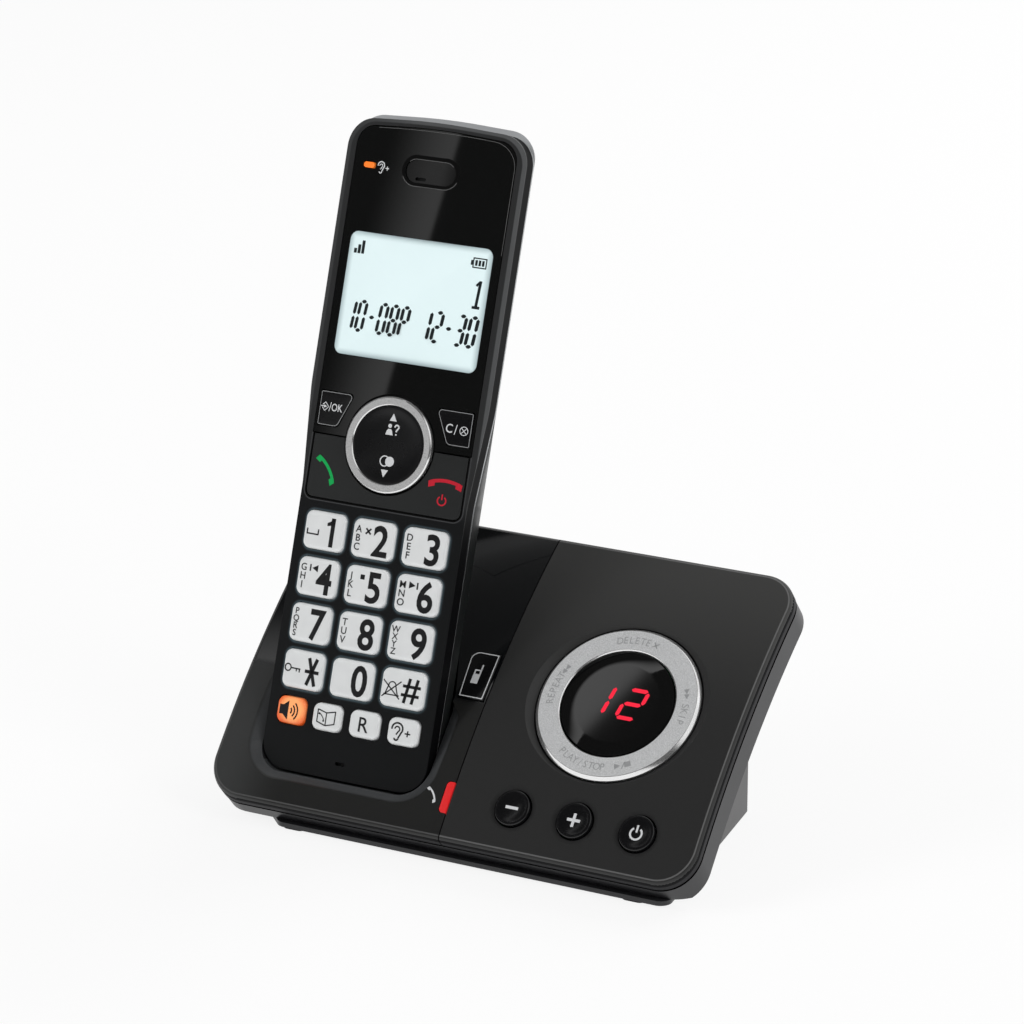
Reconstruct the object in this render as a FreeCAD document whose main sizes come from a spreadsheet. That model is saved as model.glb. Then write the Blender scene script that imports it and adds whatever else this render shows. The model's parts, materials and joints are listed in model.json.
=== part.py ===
"""Cordless telephone standing in a charging base with an answering machine.

The base is a sloping slab on a pedestal. Its left half is the cradle cover with a deep well for
the handset, its right half the answering panel with a round rocker ring, a message counter and
three round keys. The handset has a front and a back shell around its board, keys and battery.

Frames, all in millimetres. Base frame: +X right, +Y back, +Z up, origin on the desk, under the
seam between the two covers and level with the middle of the ring. Panel frame: x right, y up the
slope, z out of the panel. Handset frame: x right, y along the handset, z out of its front.
"""
import FreeCAD, Part
import math
import os
import Sketcher

SIZES = (
    # base slab and its two top shells
    ("well_side", 9.5, "left edge of the slab to the handset's side"),
    ("seam_side", 7.3, "handset's side to the seam"),
    ("slab_front", 43.2, "front edge, down the slope from the ring centre"),
    ("slab_back", 43.6, "rear edge, up the slope from the ring centre"),
    ("slab_corner", 9.8, "corner radius of the slab"),
    ("slab_depth", 11, "thickness of the slab, square to the panel"),
    ("panel_tilt", 41.4, "slope of the panel at the ring, degrees"),
    ("panel_radius", 243, "radius of the panel's convex curve"),
    ("rim_depth", 3.8, "depth of the top shells' rim"),
    ("shell_wall", 2, "wall of the base mouldings"),
    ("seam_gap", 0.3, "gap between the two top shells"),
    ("parting_gap", 0.3, "gap between the top shells and the lower housing"),
    ("edge_round", 1.3, "rounding of the top shells' outer edge"),
    # pedestal
    ("pedestal_inset", 6.6, "slab's side edge to the pedestal at its widest"),
    ("pedestal_rear_inset", 15, "slab's side edge to the pedestal's rear right corner"),
    ("pedestal_front", 26.3, "front face, in front of the ring centre"),
    ("pedestal_rear", 38.7, "rear face, behind the ring centre"),
    ("pedestal_chamfer", 13.4, "cut-off front corner under the well"),
    ("pedestal_corner", 3, "corner radius of the pedestal"),
    ("floor_wall", 2, "thickness of the floor"),
    ("slab_lip", 1.2, "height of the slab's lowest edge over the pedestal's underside"),
    # well for the handset
    ("handset_tilt", 70.9, "lean of the handset from the desk, degrees"),
    ("seat_slope", 33.2, "foot of the handset, down the slope from the ring centre"),
    ("seat_sink", 1.8, "foot of the handset, below the panel surface"),
    ("well_clearance", 0.6, "gap around the seated handset"),
    ("well_wall", 1.6, "wall of the well"),
    ("well_floor_gap", 0.5, "gap between the well and the floor"),
    ("lip_width", 2.9, "width of the sloping lip around the well"),
    ("lip_depth", 1.6, "depth of that lip at the well's edge"),
    ("lip_end", 8, "upper right end of the lip, down the slope from the ring centre"),
    ("lip_fade", 7, "length over which the lip's right end fades"),
    # rocker ring, window and counter
    ("ring_radius", 21.1, "outer radius of the rocker ring"),
    ("ring_bore", 14.75, "inner radius of the rocker ring"),
    ("ring_thickness", 1.7, "thickness of the rocker ring"),
    ("ring_sink", 0.4, "ring face below the panel at its centre"),
    ("ring_chamfer", 0.9, "bright bevel on the ring's outer edge"),
    ("ring_gap", 0.45, "gap around the ring and over its carrier"),
    ("moat_radius", 23.7, "outer radius of the sunk bevel around the ring"),
    ("moat_depth", 1.5, "depth of that bevel at the ring's right and left"),
    ("carrier_bore", 15.3, "inner radius of the ring's carrier"),
    ("carrier_flange", 22.6, "flange radius of the ring's carrier"),
    ("rocker_room", 0.55, "room over the carrier's flange, for the rocking"),
    ("flange_thickness", 0.8, "thickness of the retaining flanges"),
    ("peg_circle", 18, "radius on which the carrier's pegs lie"),
    ("peg_radius", 1.2, "radius of the carrier's pegs"),
    ("window_radius", 14.4, "radius of the round window"),
    ("window_thickness", 1.4, "thickness of the window"),
    ("skirt_radius", 13.9, "outer radius of the window's skirt"),
    ("skirt_wall", 1.2, "wall of the window's skirt"),
    ("counter_width", 18, "width of the message display"),
    ("counter_height", 11, "height of the message display"),
    # keys of the base
    ("button_radius", 4.6, "radius of the round keys"),
    ("button_slope", 32, "round keys, down the slope from the ring centre"),
    ("button_proud", 0.7, "height of the round keys over the panel"),
    ("button_gap", 0.35, "gap around the round keys"),
    ("button_flange", 1.1, "width of the round keys' flange"),
    ("dish_radius", 6.3, "radius of the shallow dish around each round key"),
    ("dish_depth", 0.4, "depth of that dish"),
    ("key_travel", 0.8, "travel of every push key"),
    ("stem_radius", 1.4, "radius of the stem under a key"),
    ("find_left", 8.6, "upper left corner of the find key, left of the seam"),
    ("find_slant", 1, "how much less its lower left corner lies out"),
    ("find_right", 0.75, "right edge of the find key, left of the seam"),
    ("find_height", 13, "length of the find key along the slope"),
    ("find_corner", 2.4, "rounded upper left corner of the find key"),
    ("find_gap", 0.25, "gap around the find key"),
    ("lamp_width", 2.1, "width of the in-use lamp"),
    ("lamp_height", 8, "length of the in-use lamp along the slope"),
    ("lamp_slope", 32.5, "in-use lamp, down the slope from the ring centre"),
    ("lamp_depth", 4.2, "depth of the in-use light pipe"),
    # board, switches and loudspeaker of the base
    ("board_depth", 8.4, "top of the base board below the panel"),
    ("board_thickness", 1.5, "thickness of the boards"),
    ("board_left", 6.3, "left edge of the base board, left of the seam"),
    ("board_inset", 15, "slab's right edge to the base board"),
    ("board_front", 39, "front edge of the base board, down the slope"),
    ("board_back", 36, "rear edge of the base board, up the slope"),
    ("switch_size", 3, "width of a tact switch"),
    ("switch_height", 1.2, "height of a tact switch"),
    ("speaker_radius", 18, "radius of the base loudspeaker"),
    ("speaker_height", 8, "height of the base loudspeaker"),
    ("speaker_shift", 4.5, "base loudspeaker, left of the ring centre"),
    ("speaker_back", 6, "base loudspeaker, behind the ring centre"),
    # sockets, screws and feet of the base
    ("jack_height", 10, "height and width of the power socket"),
    ("jack_bore", 2.85, "radius of the power socket's bore"),
    ("jack_depth", 9, "depth of the power socket's bore"),
    ("jack_shift", 6.5, "power socket, right of the ring centre"),
    ("line_width", 13.4, "width and height of the line socket"),
    ("line_opening", 9.8, "width of the line socket's opening"),
    ("line_rise", 7, "height of the line socket's opening"),
    ("line_shift", 11.5, "line socket, left of the ring centre"),
    ("socket_length", 12, "length of both sockets"),
    ("socket_gap", 0.2, "gap around the sockets in the rear wall"),
    ("screw_column", 2.5, "radius of the screw columns"),
    ("screw_head", 1.9, "radius of the screw heads"),
    ("screw_shank", 1.1, "radius of the screw shanks"),
    ("screw_gap", 0.05, "gap around screws and under pieces that rest on a face"),
    ("foot_proud", 0.7, "how far the feet stand out of the floor"),
    ("foot_recess", 0.8, "depth of the feet in the floor"),
    ("foot_width", 6, "width of a foot"),
    ("foot_length", 10, "length of a foot"),
    ("foot_inset", 10, "front feet, in from the pedestal's sides"),
    ("foot_rear_inset", 8, "rear feet, in from the pedestal's rear corner"),
    ("slot_width", 1.6, "width of the loudspeaker slots in the floor"),
    ("foot_front", 20.4, "front feet, in front of the ring centre"),
    ("foot_back", 31.5, "rear feet, behind the ring centre"),
    # handset shells
    ("handset_bottom", 83.9, "end of the handset below the round key"),
    ("handset_top", 79.2, "end of the front shell above the round key"),
    ("top_arch", 1.2, "rise of the arched top end"),
    ("back_rise", 1.4, "how much higher the back shell reaches"),
    ("handset_width", 50.2, "width of the upper half"),
    ("waist_step", 1.9, "how much narrower the lower half is on each side"),
    ("top_corner", 7.5, "corner radius of the top end"),
    ("bottom_corner", 7, "corner radius of the bottom end"),
    ("handset_depth", 25.3, "front to back"),
    ("front_curve", 174, "radius of the front across the handset"),
    ("front_shell_depth", 5.8, "depth of the front shell"),
    ("handset_wall", 1.6, "wall of the handset shells"),
    ("back_top_round", 11, "rounding of the back at the top end"),
    ("back_bottom_round", 6, "rounding of the back at the bottom end"),
    # faceplate and what lies in it
    ("plate_side", 2.8, "handset's side to the faceplate"),
    ("plate_margin", 1.8, "handset's top end to the faceplate"),
    ("plate_thickness", 1.2, "thickness of the faceplate"),
    ("plate_corner", 5, "corner radius of the faceplate"),
    ("fit_gap", 0.2, "gap around inserted pieces"),
    ("lens_margin", 2.3, "faceplate's side to the display lens"),
    ("lens_height", 30.8, "height of the display lens"),
    ("lens_drop", 43.3, "handset's top end to the middle of the display lens"),
    ("lens_corner", 2.2, "corner radius of the display lens"),
    ("lcd_thickness", 1.4, "thickness of the liquid crystal panel"),
    ("ear_width", 15.8, "width of the earpiece opening"),
    ("ear_height", 7.6, "height of the earpiece opening"),
    ("ear_drop", 11.3, "handset's top end to the middle of the earpiece opening"),
    ("ear_slot_width", 3, "width of the earpiece's sound slot"),
    ("ear_slot_height", 0.8, "height of the earpiece's sound slot"),
    ("ear_slot_shift", 2.6, "sound slot, left of the middle"),
    ("ear_slot_drop", 2, "sound slot, below the middle of the earpiece opening"),
    ("boost_margin", 4.6, "faceplate's side to the boost lamp"),
    ("boost_width", 3.6, "width of the boost lamp"),
    ("boost_height", 1.6, "height of the boost lamp"),
    # round key, soft keys and call key
    ("nav_radius", 12, "outer radius of the silver ring"),
    ("nav_bore", 9.85, "inner radius of the silver ring"),
    ("nav_flange", 11.2, "flange radius of the round key"),
    ("nav_proud", 0.5, "height of the silver ring over the front"),
    ("nav_gap", 0.6, "gap around the silver ring"),
    ("nav_neck_gap", 0.5, "gap around the round key in the front shell"),
    ("soft_margin", 0.8, "faceplate's side to the soft keys"),
    ("soft_top", 10.9, "top edge of the soft keys"),
    ("soft_bottom", 2.3, "bottom edge of the soft keys"),
    ("soft_inner_top", 11.6, "inner edge of the soft keys at the top"),
    ("soft_inner_bottom", 15.5, "inner edge of the soft keys at the bottom"),
    ("call_margin", 0.6, "faceplate's side to the call key's"),
    ("call_bottom", 15.6, "lower edge of the call key"),
    ("call_thickness", 1.4, "thickness of the call key"),
    ("call_corner", 1.8, "lower corner radius of the call key"),
    ("rock_gap", 0.5, "room under and over the rocking keys"),
    ("plunger_place", 16, "plungers of the call key, from the middle"),
    # number and function keys
    ("key_side", 3.15, "handset's side to the outer keys"),
    ("key_land", 2.35, "space between number keys"),
    ("key_start", 3.3, "call key's lower edge to the first row of keys"),
    ("row_land", 2.05, "space between rows of number keys"),
    ("small_step", 2.25, "space between the number keys and the function keys"),
    ("key_end", 11.4, "last row of keys to the handset's foot"),
    ("key_corner", 1.9, "corner radius of the keys"),
    ("key_crown", 0.5, "rounding of the keys' top edge"),
    ("key_proud", 0.9, "height of the keys over the front"),
    ("key_gap", 0.25, "gap around the keys"),
    ("key_flange", 0.6, "width of the keys' flange"),
    ("small_land", 2.3, "space between function keys"),
    ("small_height", 6.8, "height of a function key"),
    # inside the handset
    ("dome_rise", 0.146, "top of the keypad mat below the outer keys at full travel"),
    ("mat_thickness", 0.8, "thickness of the keypad mat"),
    ("mat_gap", 1.6, "keypad mat and board to the shell's wall"),
    ("dome_radius", 2.2, "radius of the domes on the mat"),
    ("inner_board_drop", 19.2, "handset's top end to the handset board"),
    ("mat_rest", 0.1, "gap between the keypad mat and the handset board"),
    ("inner_board_thickness", 1.2, "thickness of the handset board"),
    ("receiver_radius", 6.5, "radius of the earpiece receiver"),
    ("receiver_height", 2.8, "height of the earpiece receiver"),
    ("ringer_radius", 9, "radius of the handset loudspeaker"),
    ("ringer_height", 4.4, "height of the handset loudspeaker"),
    ("ringer_shift", 6.35, "handset loudspeaker, below the middle of the room over the cells"),
    ("mic_radius", 2.2, "radius of the microphone"),
    ("mic_rise", 4, "microphone slot above the handset's foot"),
    ("mic_slot_width", 2.8, "width of the microphone slot"),
    ("mic_slot_height", 0.9, "height of the microphone slot"),
    ("cell_radius", 5.25, "radius of a battery cell"),
    ("cell_length", 44.5, "length of a battery cell"),
    ("cell_depth", 15.4, "axis of the cells below the front"),
    ("bay_bottom", 12.5, "lower end of the battery bay below the round key"),
    ("bay_gap", 0.35, "gap around the cells"),
    ("bay_wall", 1.2, "wall of the battery bay"),
    ("door_ledge", 1, "ledge on which the battery door lies"),
    # charging contacts
    ("contact_place", 8, "charging contacts, from the middle"),
    ("contact_depth", 12, "charging contacts below the front"),
    ("contact_width", 5, "width of the handset's contact plates"),
    ("contact_thickness", 0.8, "thickness of the contact plates"),
    ("pin_radius", 1, "radius of the sprung contact pins"),
    ("pin_flange", 1.7, "flange radius of the contact pins"),
)

# sizes worked out from the ones above, so that pieces that belong together keep together
TIED_SIZES = (
    ("base_width", "2 * (well_side + handset_width + seam_side)", "overall width of the slab"),
    ("pedestal_half_width", "base_width / 2 - pedestal_inset", "half width of the pedestal"),
    ("pedestal_rear_half", "base_width / 2 - pedestal_rear_inset", "pedestal's rear right end"),
    ("handset_center", "seam_side + handset_width / 2", "middle of the handset, left of the seam"),
    ("ring_center", "base_width / 4", "ring centre, right of the seam"),
    ("button_pitch", "base_width / 8", "distance between the round keys"),
    ("board_right", "base_width / 2 - board_inset", "right edge of the base board"),
    ("speaker_place", "ring_center - speaker_shift", "base loudspeaker, right of the seam"),
    ("jack_place", "ring_center + jack_shift", "power socket, right of the seam"),
    ("line_place", "ring_center - line_shift", "line socket, right of the seam"),
    ("foot_spread", "pedestal_half_width - foot_inset", "front feet, from the seam"),
    ("foot_rear_spread", "pedestal_rear_half - foot_rear_inset", "rear feet, from the seam"),
    ("handset_waist", "handset_width - 2 * waist_step", "width of the lower half"),
    ("plate_width", "handset_width - 2 * plate_side", "width of the faceplate"),
    ("plate_top", "handset_top - plate_margin", "top edge of the faceplate"),
    ("lens_width", "plate_width - 2 * lens_margin", "width of the display lens"),
    ("lens_center", "handset_top - lens_drop", "middle of the display lens"),
    ("ear_center", "handset_top - ear_drop", "middle of the earpiece opening"),
    ("boost_place", "plate_width / 2 - boost_margin", "boost lamp, left of the middle"),
    ("soft_outer", "plate_width / 2 - soft_margin", "outer edge of the soft keys"),
    ("call_width", "plate_width - 2 * call_margin", "width of the call key"),
    ("key_width", "(handset_waist - 2 * key_side - 2 * key_land) / 3", "width of a number key"),
    ("key_pitch", "key_width + key_land", "number keys, centre to centre across"),
    ("key_height", "(handset_bottom - call_bottom - key_start - key_end - small_height"
     " - 3 * row_land - small_step) / 4", "height of a number key"),
    ("row_pitch", "key_height + row_land", "number keys, centre to centre along"),
    ("first_row", "call_bottom + key_start + key_height / 2", "first row below the round key"),
    ("small_row", "handset_bottom - key_end - small_height / 2", "row of function keys"),
    ("small_width", "(handset_waist - 2 * key_side - 3 * small_land) / 4", "function key's width"),
    ("small_pitch", "small_width + small_land", "function keys, centre to centre"),
    ("mat_width", "handset_waist - 2 * (handset_wall + mat_gap)", "width of the mat and board"),
    ("inner_board_top", "handset_top - inner_board_drop", "top edge of the handset board"),
    ("cells_top", "cell_length + 2 * bay_gap + contact_thickness - bay_bottom", "end of the bay"),
    ("ringer_place", "(cells_top + handset_top) / 2 - ringer_shift", "handset loudspeaker"),
    ("mic_place", "handset_bottom - mic_rise", "microphone below the round key"),
    ("outer_key_drop", "key_pitch * (key_pitch + key_width + 2 * key_flange) / 2 / front_curve",
     "fall of the outer keys' lower edge on the curved front"),
    ("mat_depth", "handset_wall + fit_gap + flange_thickness + key_travel + screw_gap"
     " + outer_key_drop + dome_rise", "top of the keypad mat below the front"),
    ("inner_board_depth", "mat_depth + mat_thickness + mat_rest", "top of the handset board"),
)

document = FreeCAD.newDocument("answering_machine")


def fill_sheet():
    """Spreadsheet with one row per driving dimension: meaning, value and alias."""
    sheet = document.addObject("Spreadsheet::Sheet", "Sizes")
    for row, (alias, value, meaning) in enumerate(SIZES + TIED_SIZES, 1):
        sheet.set(f"A{row}", meaning)
        sheet.set(f"B{row}", f"={value}")
        sheet.setAlias(f"B{row}", alias)
    document.recompute()
    return sheet


sheet = fill_sheet()


def mm(alias):
    """Value of one driving dimension."""
    return float(sheet.get(alias))


def number(expression):
    """Value of an expression on the sheet."""
    return float(sheet.evalExpression(expression))


# ---------------------------------------------------------------- frames


def sag(distance):
    """Drop of the curved panel at a distance up or down the slope."""
    radius = mm("panel_radius")
    return radius - math.sqrt(radius ** 2 - distance ** 2)


def front_sag(distance):
    """Drop of the handset's curved front at a distance from its middle."""
    radius = mm("front_curve")
    return radius - math.sqrt(radius ** 2 - distance ** 2)


def seat_in_panel():
    """Foot of the handset's front, as slope and height in the panel frame."""
    return -mm("seat_slope"), -sag(mm("seat_slope")) - mm("seat_sink")


def seat_height():
    """Height of that foot over the desk, which sets the height of the whole base."""
    shell = mm("well_clearance") + mm("well_wall")
    tilt = math.radians(mm("handset_tilt"))
    below = shell * math.sin(tilt) + (mm("handset_depth") + shell) * math.cos(tilt)
    return mm("foot_proud") + mm("floor_wall") + mm("well_floor_gap") + below


def ring_height():
    """Height of the ring centre over the desk."""
    tilt = math.radians(mm("panel_tilt"))
    slope, height = seat_in_panel()
    return seat_height() - slope * math.sin(tilt) - height * math.cos(tilt)


def tilted(x, y, z, degrees):
    """Placement at a point, leaning back about X."""
    lean = FreeCAD.Rotation(FreeCAD.Vector(1, 0, 0), degrees)
    return FreeCAD.Placement(FreeCAD.Vector(x, y, z), lean)


def panel_frame():
    return tilted(0, 0, ring_height(), mm("panel_tilt"))


def handset_frame():
    """Origin at the round key, so that the foot of the front stands on its seat."""
    slope, height = seat_in_panel()
    foot = panel_frame().multVec(FreeCAD.Vector(-mm("handset_center"), slope, height))
    tilt = math.radians(mm("handset_tilt"))
    length = mm("handset_bottom")
    y = foot.y + length * math.cos(tilt)
    z = foot.z + length * math.sin(tilt)
    return tilted(-mm("handset_center"), y, z, mm("handset_tilt"))


def on_panel(x, slope, below=0):
    """Placement square to the curved panel at a point."""
    lean = math.degrees(math.asin(-slope / mm("panel_radius")))
    surface = tilted(x, slope, -sag(slope), lean)
    return panel_frame().multiply(surface).multiply(tilted(0, 0, -below, 0))


def in_panel(x, slope, height):
    """Placement in the panel frame, parallel to its base plane."""
    return panel_frame().multiply(tilted(x, slope, height, 0))


def on_front(x, y, below=0):
    """Placement square to the handset's curved front at a point."""
    turn = math.degrees(math.asin(x / mm("front_curve")))
    roll = FreeCAD.Rotation(FreeCAD.Vector(0, 1, 0), turn)
    surface = FreeCAD.Placement(FreeCAD.Vector(x, y, -front_sag(x)), roll)
    return handset_frame().multiply(surface).multiply(tilted(0, 0, -below, 0))


def in_handset(x, y, z):
    """Placement in the handset frame, parallel to its base plane."""
    return handset_frame().multiply(tilted(x, y, z, 0))


# ---------------------------------------------------------------- shapes


def rounded_wire(corners):
    """Closed wire through corners (x, y, radius), each rounded by its radius."""
    points = [FreeCAD.Vector(x, y, 0) for x, y, _ in corners]
    count = len(corners)
    starts, ends, middles = [], [], []
    for index, (_, _, radius) in enumerate(corners):
        here = points[index]
        back = (points[index - 1] - here).normalize()
        ahead = (points[(index + 1) % count] - here).normalize()
        half = back.getAngle(ahead) / 2
        reach = radius / math.tan(half)
        bisector = (back + ahead).normalize()
        starts.append(here + back * reach)
        ends.append(here + ahead * reach)
        middles.append(here + bisector * (radius / math.sin(half) - radius))
    edges = []
    for index, (_, _, radius) in enumerate(corners):
        if radius:
            arc = Part.Arc(starts[index], middles[index], ends[index])
            edges.append(arc.toShape())
        following = starts[(index + 1) % count]
        if ends[index].distanceToPoint(following) > 1e-6:
            edges.append(Part.LineSegment(ends[index], following).toShape())
    return Part.Wire(edges)


def rounded_prism(corners, low, high):
    """Solid over a rounded outline between two heights."""
    face = Part.Face(rounded_wire(corners))
    face.translate(FreeCAD.Vector(0, 0, low))
    return face.extrude(FreeCAD.Vector(0, 0, high - low))


def box(x, y, z):
    """Box between two bounds on each axis."""
    corner = FreeCAD.Vector(x[0], y[0], z[0])
    return Part.makeBox(x[1] - x[0], y[1] - y[0], z[1] - z[0], corner)


def rectangle(width, height, radius, x=0, y=0):
    """Corners of a rounded rectangle about a point."""
    right, top = width / 2, height / 2
    places = ((-right, -top), (right, -top), (right, top), (-right, top))
    return [(x + u, y + v, radius) for u, v in places]


def disc(radius, low, high, x=0, y=0):
    """Upright cylinder between two heights."""
    return Part.makeCylinder(radius, high - low, FreeCAD.Vector(x, y, low))


def turned(profile, x=0, y=0):
    """Solid of a (radius, height) profile turned about an upright axis."""
    points = [FreeCAD.Vector(x + radius, y, height) for radius, height in profile]
    face = Part.Face(Part.makePolygon(points + points[:1]))
    return face.revolve(FreeCAD.Vector(x, y, 0), FreeCAD.Vector(0, 0, 1), 360)


def funnel(opening, brim, depth, reach, x=0):
    """Tool for a round opening with a sunk, sloping brim of a given depth."""
    spread = (brim - opening) / depth
    return turned((
        (0, -reach),
        (opening, -reach),
        (opening, -depth),
        (opening + spread * (depth + reach), reach),
        (0, reach),
    ), x)


def moved(shape, placement):
    """Copy of a shape carried by a placement."""
    return shape.transformed(placement.toMatrix(), True)


def panel_layer(depth):
    """Everything more than a depth below the curved panel, over the slab's width."""
    radius = mm("panel_radius") - depth
    width = mm("base_width") + 2
    start = FreeCAD.Vector(-width / 2, 0, -mm("panel_radius"))
    return Part.makeCylinder(radius, width, start, FreeCAD.Vector(1, 0, 0))


def slab_prism(left, right, inset=0):
    """Prism over the slab's outline between two X bounds, drawn in by an inset."""
    half = mm("base_width") / 2
    corner = mm("slab_corner")
    x = (left + inset, right - inset)
    y = (-mm("slab_front") + inset, mm("slab_back") - inset)
    radii = [max(corner - inset, 0.5) if abs(edge) == half else 0 for edge in (left, right)]
    corners = (
        (x[0], y[0], radii[0]),
        (x[1], y[0], radii[1]),
        (x[1], y[1], radii[1]),
        (x[0], y[1], radii[0]),
    )
    return rounded_prism(corners, -mm("base_width"), mm("slab_depth"))


def is_rim_edge(edge):
    """True for an edge of the panel's surface that lies on the slab's outline."""
    middle = edge.valueAt((edge.FirstParameter + edge.LastParameter) / 2)
    axis = FreeCAD.Vector(middle.x, 0, -mm("panel_radius"))
    on_top = abs(middle.distanceToPoint(axis) - mm("panel_radius")) < 1e-3
    return on_top and abs(middle.x) > mm("seam_gap")


def top_shell(left, right):
    """Curved cover plate with a rim all round, in the panel frame."""
    wall, rim = mm("shell_wall"), mm("rim_depth")
    skin = slab_prism(left, right).common(panel_layer(0)).cut(panel_layer(rim))
    skin = skin.makeFillet(mm("edge_round"), [edge for edge in skin.Edges if is_rim_edge(edge)])
    hollow = slab_prism(left, right, wall).common(panel_layer(wall))
    return skin.cut(hollow)


def handset_section(grow):
    """Cross-section of the handset: curved front, upright sides and a rounded, narrowing back."""
    half = mm("handset_width") / 2
    side = mm("front_shell_depth")
    depth = mm("handset_depth")
    flank = (half * 0.86, -(side + depth * 0.26))
    shoulder = (half * 0.65, -(side + depth * 0.54))
    rump = (half * 0.36, -(depth - 1.3))
    back = (0, -depth)
    front = (half, -front_sag(half))

    def at(point, sign=1):
        return FreeCAD.Vector(sign * point[0], point[1], 0)

    edges = [
        Part.Arc(at(front, -1), FreeCAD.Vector(0, 0, 0), at(front)).toShape(),
        Part.LineSegment(at(front), at((half, -side))).toShape(),
        Part.Arc(at((half, -side)), at(flank), at(shoulder)).toShape(),
        Part.Arc(at(shoulder), at(rump), at(back)).toShape(),
        Part.Arc(at(back), at(rump, -1), at(shoulder, -1)).toShape(),
        Part.Arc(at(shoulder, -1), at(flank, -1), at((half, -side), -1)).toShape(),
        Part.LineSegment(at((half, -side), -1), at(front, -1)).toShape(),
    ]
    face = Part.Face(Part.Wire(edges))
    if grow:
        face = face.makeOffset2D(grow, join=2)
    return face


def handset_plan(grow, top, corner):
    """Outline of the handset seen from its front, without the arch of its top end."""
    upper = mm("handset_width") / 2 + grow
    lower = mm("handset_waist") / 2 + grow
    shoulder = mm("nav_radius")
    bend = 3 * shoulder
    return [
        (lower, -mm("handset_bottom") - grow, max(mm("bottom_corner") + grow, 1)),
        (lower, -shoulder, bend),
        (upper, shoulder, bend),
        (upper, top, corner),
    ]


def top_corner_form(grow, top, side):
    """Everything inside one rounded top corner, which moves inwards with the narrowing back."""
    half, arch, depth = mm("handset_width") / 2 + grow, mm("top_arch"), mm("handset_depth") + grow
    low = -2 * mm("handset_bottom")
    outline = [(half, low, 0), (half, top, max(mm("top_corner") + grow, 1)),
               (-2 * half, top + 3 * arch, 0), (-2 * half, low, 0)]
    if side < 0:
        outline = [(-x, y, radius) for x, y, radius in reversed(outline)]
    face = Part.Face(rounded_wire(outline))
    face.translate(FreeCAD.Vector(0, 0, -mm("front_shell_depth")))
    upper = 0.26 * mm("handset_depth")
    slant = FreeCAD.Vector(-side * 0.45 * upper, 0, -upper)
    form = face.extrude(FreeCAD.Vector(0, 0, depth)).fuse(face.extrude(slant))
    face.translate(slant)
    return form.fuse(face.extrude(FreeCAD.Vector(-side * 0.7 * depth, 0, -depth)))


def handset_form(grow=0, rise=0, open_top=0):
    """Outer form of the handset, grown by a gap or drawn in by a wall, in its own frame.

    rise lifts the top end. open_top carries the form straight on upwards instead.
    """
    bottom = -mm("handset_bottom") - grow
    top = mm("handset_top") + rise + grow + open_top
    arch = 0 if open_top else mm("top_arch")
    right = handset_plan(grow, top, 0 if open_top else max(mm("top_corner") + grow, 1))
    middle = [(0, top + arch, mm("front_curve"))] if arch else []
    left = [(-x, y, radius) for x, y, radius in reversed(right)]
    depth = mm("handset_depth") + grow
    plan = rounded_prism(right + middle + left, -depth, depth)
    length = top + arch - bottom
    section = handset_section(grow)
    upright = FreeCAD.Placement(
        FreeCAD.Vector(0, bottom, 0), FreeCAD.Rotation(FreeCAD.Vector(1, 0, 0), 90)
    )
    section.Placement = upright
    bar = section.extrude(FreeCAD.Vector(0, length, 0))
    crown = 0 if open_top else mm("back_top_round") + grow
    side = rounded_prism(
        (
            (bottom, -depth, mm("back_bottom_round") + grow),
            (top + arch, -depth, crown),
            (top + arch, depth, 0),
            (bottom, depth, 0),
        ),
        -2 * depth,
        2 * depth,
    )
    side.Placement = FreeCAD.Placement(
        FreeCAD.Vector(), FreeCAD.Rotation(FreeCAD.Vector(1, 1, 1), 120)
    )
    form = plan.common(bar).common(side)
    if open_top:
        return form
    return form.common(top_corner_form(grow, top, 1)).common(top_corner_form(grow, top, -1))


def front_layer(depth):
    """Everything more than a depth below the handset's curved front."""
    radius = mm("front_curve") - depth
    length = 2 * (mm("handset_bottom") + mm("handset_top"))
    start = FreeCAD.Vector(0, -length / 2, -mm("front_curve"))
    return Part.makeCylinder(radius, length, start, FreeCAD.Vector(0, 1, 0))


# ---------------------------------------------------------------- document objects


parts = []


def solid(label, shape, placement=None):
    """Sub-part whose shape is worked out by the functions above."""
    feature = document.addObject("Part::Feature", label)
    feature.Label = label
    feature.Shape = shape
    if placement:
        feature.Placement = placement
    parts.append(feature)
    return feature


def new_body(label):
    body = document.addObject("PartDesign::Body", label)
    body.Label = label
    parts.append(body)
    return body


def new_sketch(body, role):
    """Sketch on one of the body's own origin planes."""
    sketch = body.newObject("Sketcher::SketchObject", "Sketch")
    plane = [item for item in body.Origin.OriginFeatures if item.Role == role][0]
    sketch.AttachmentSupport = [(plane, "")]
    sketch.MapMode = "FlatFace"
    return sketch


def draw_outline(sketch, corners):
    """Closed polygon whose corners are pairs of expressions, each one bound to the sheet."""
    values = [(number(x), number(y)) for x, y in corners]
    first = sketch.GeometryCount
    count = len(corners)
    for index, (x, y) in enumerate(values):
        following = values[(index + 1) % count]
        start = FreeCAD.Vector(x, y, 0)
        end = FreeCAD.Vector(following[0], following[1], 0)
        sketch.addGeometry(Part.LineSegment(start, end), False)
    for index in range(count):
        follower = first + (index + 1) % count
        sketch.addConstraint(Sketcher.Constraint("Coincident", first + index, 2, follower, 1))
    for index, pair in enumerate(corners):
        for kind, expression in zip(("DistanceX", "DistanceY"), pair):
            place = Sketcher.Constraint(kind, -1, 1, first + index, 1, number(expression))
            name = f"Constraints[{sketch.addConstraint(place)}]"
            sketch.setExpression(name, expression)


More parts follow.
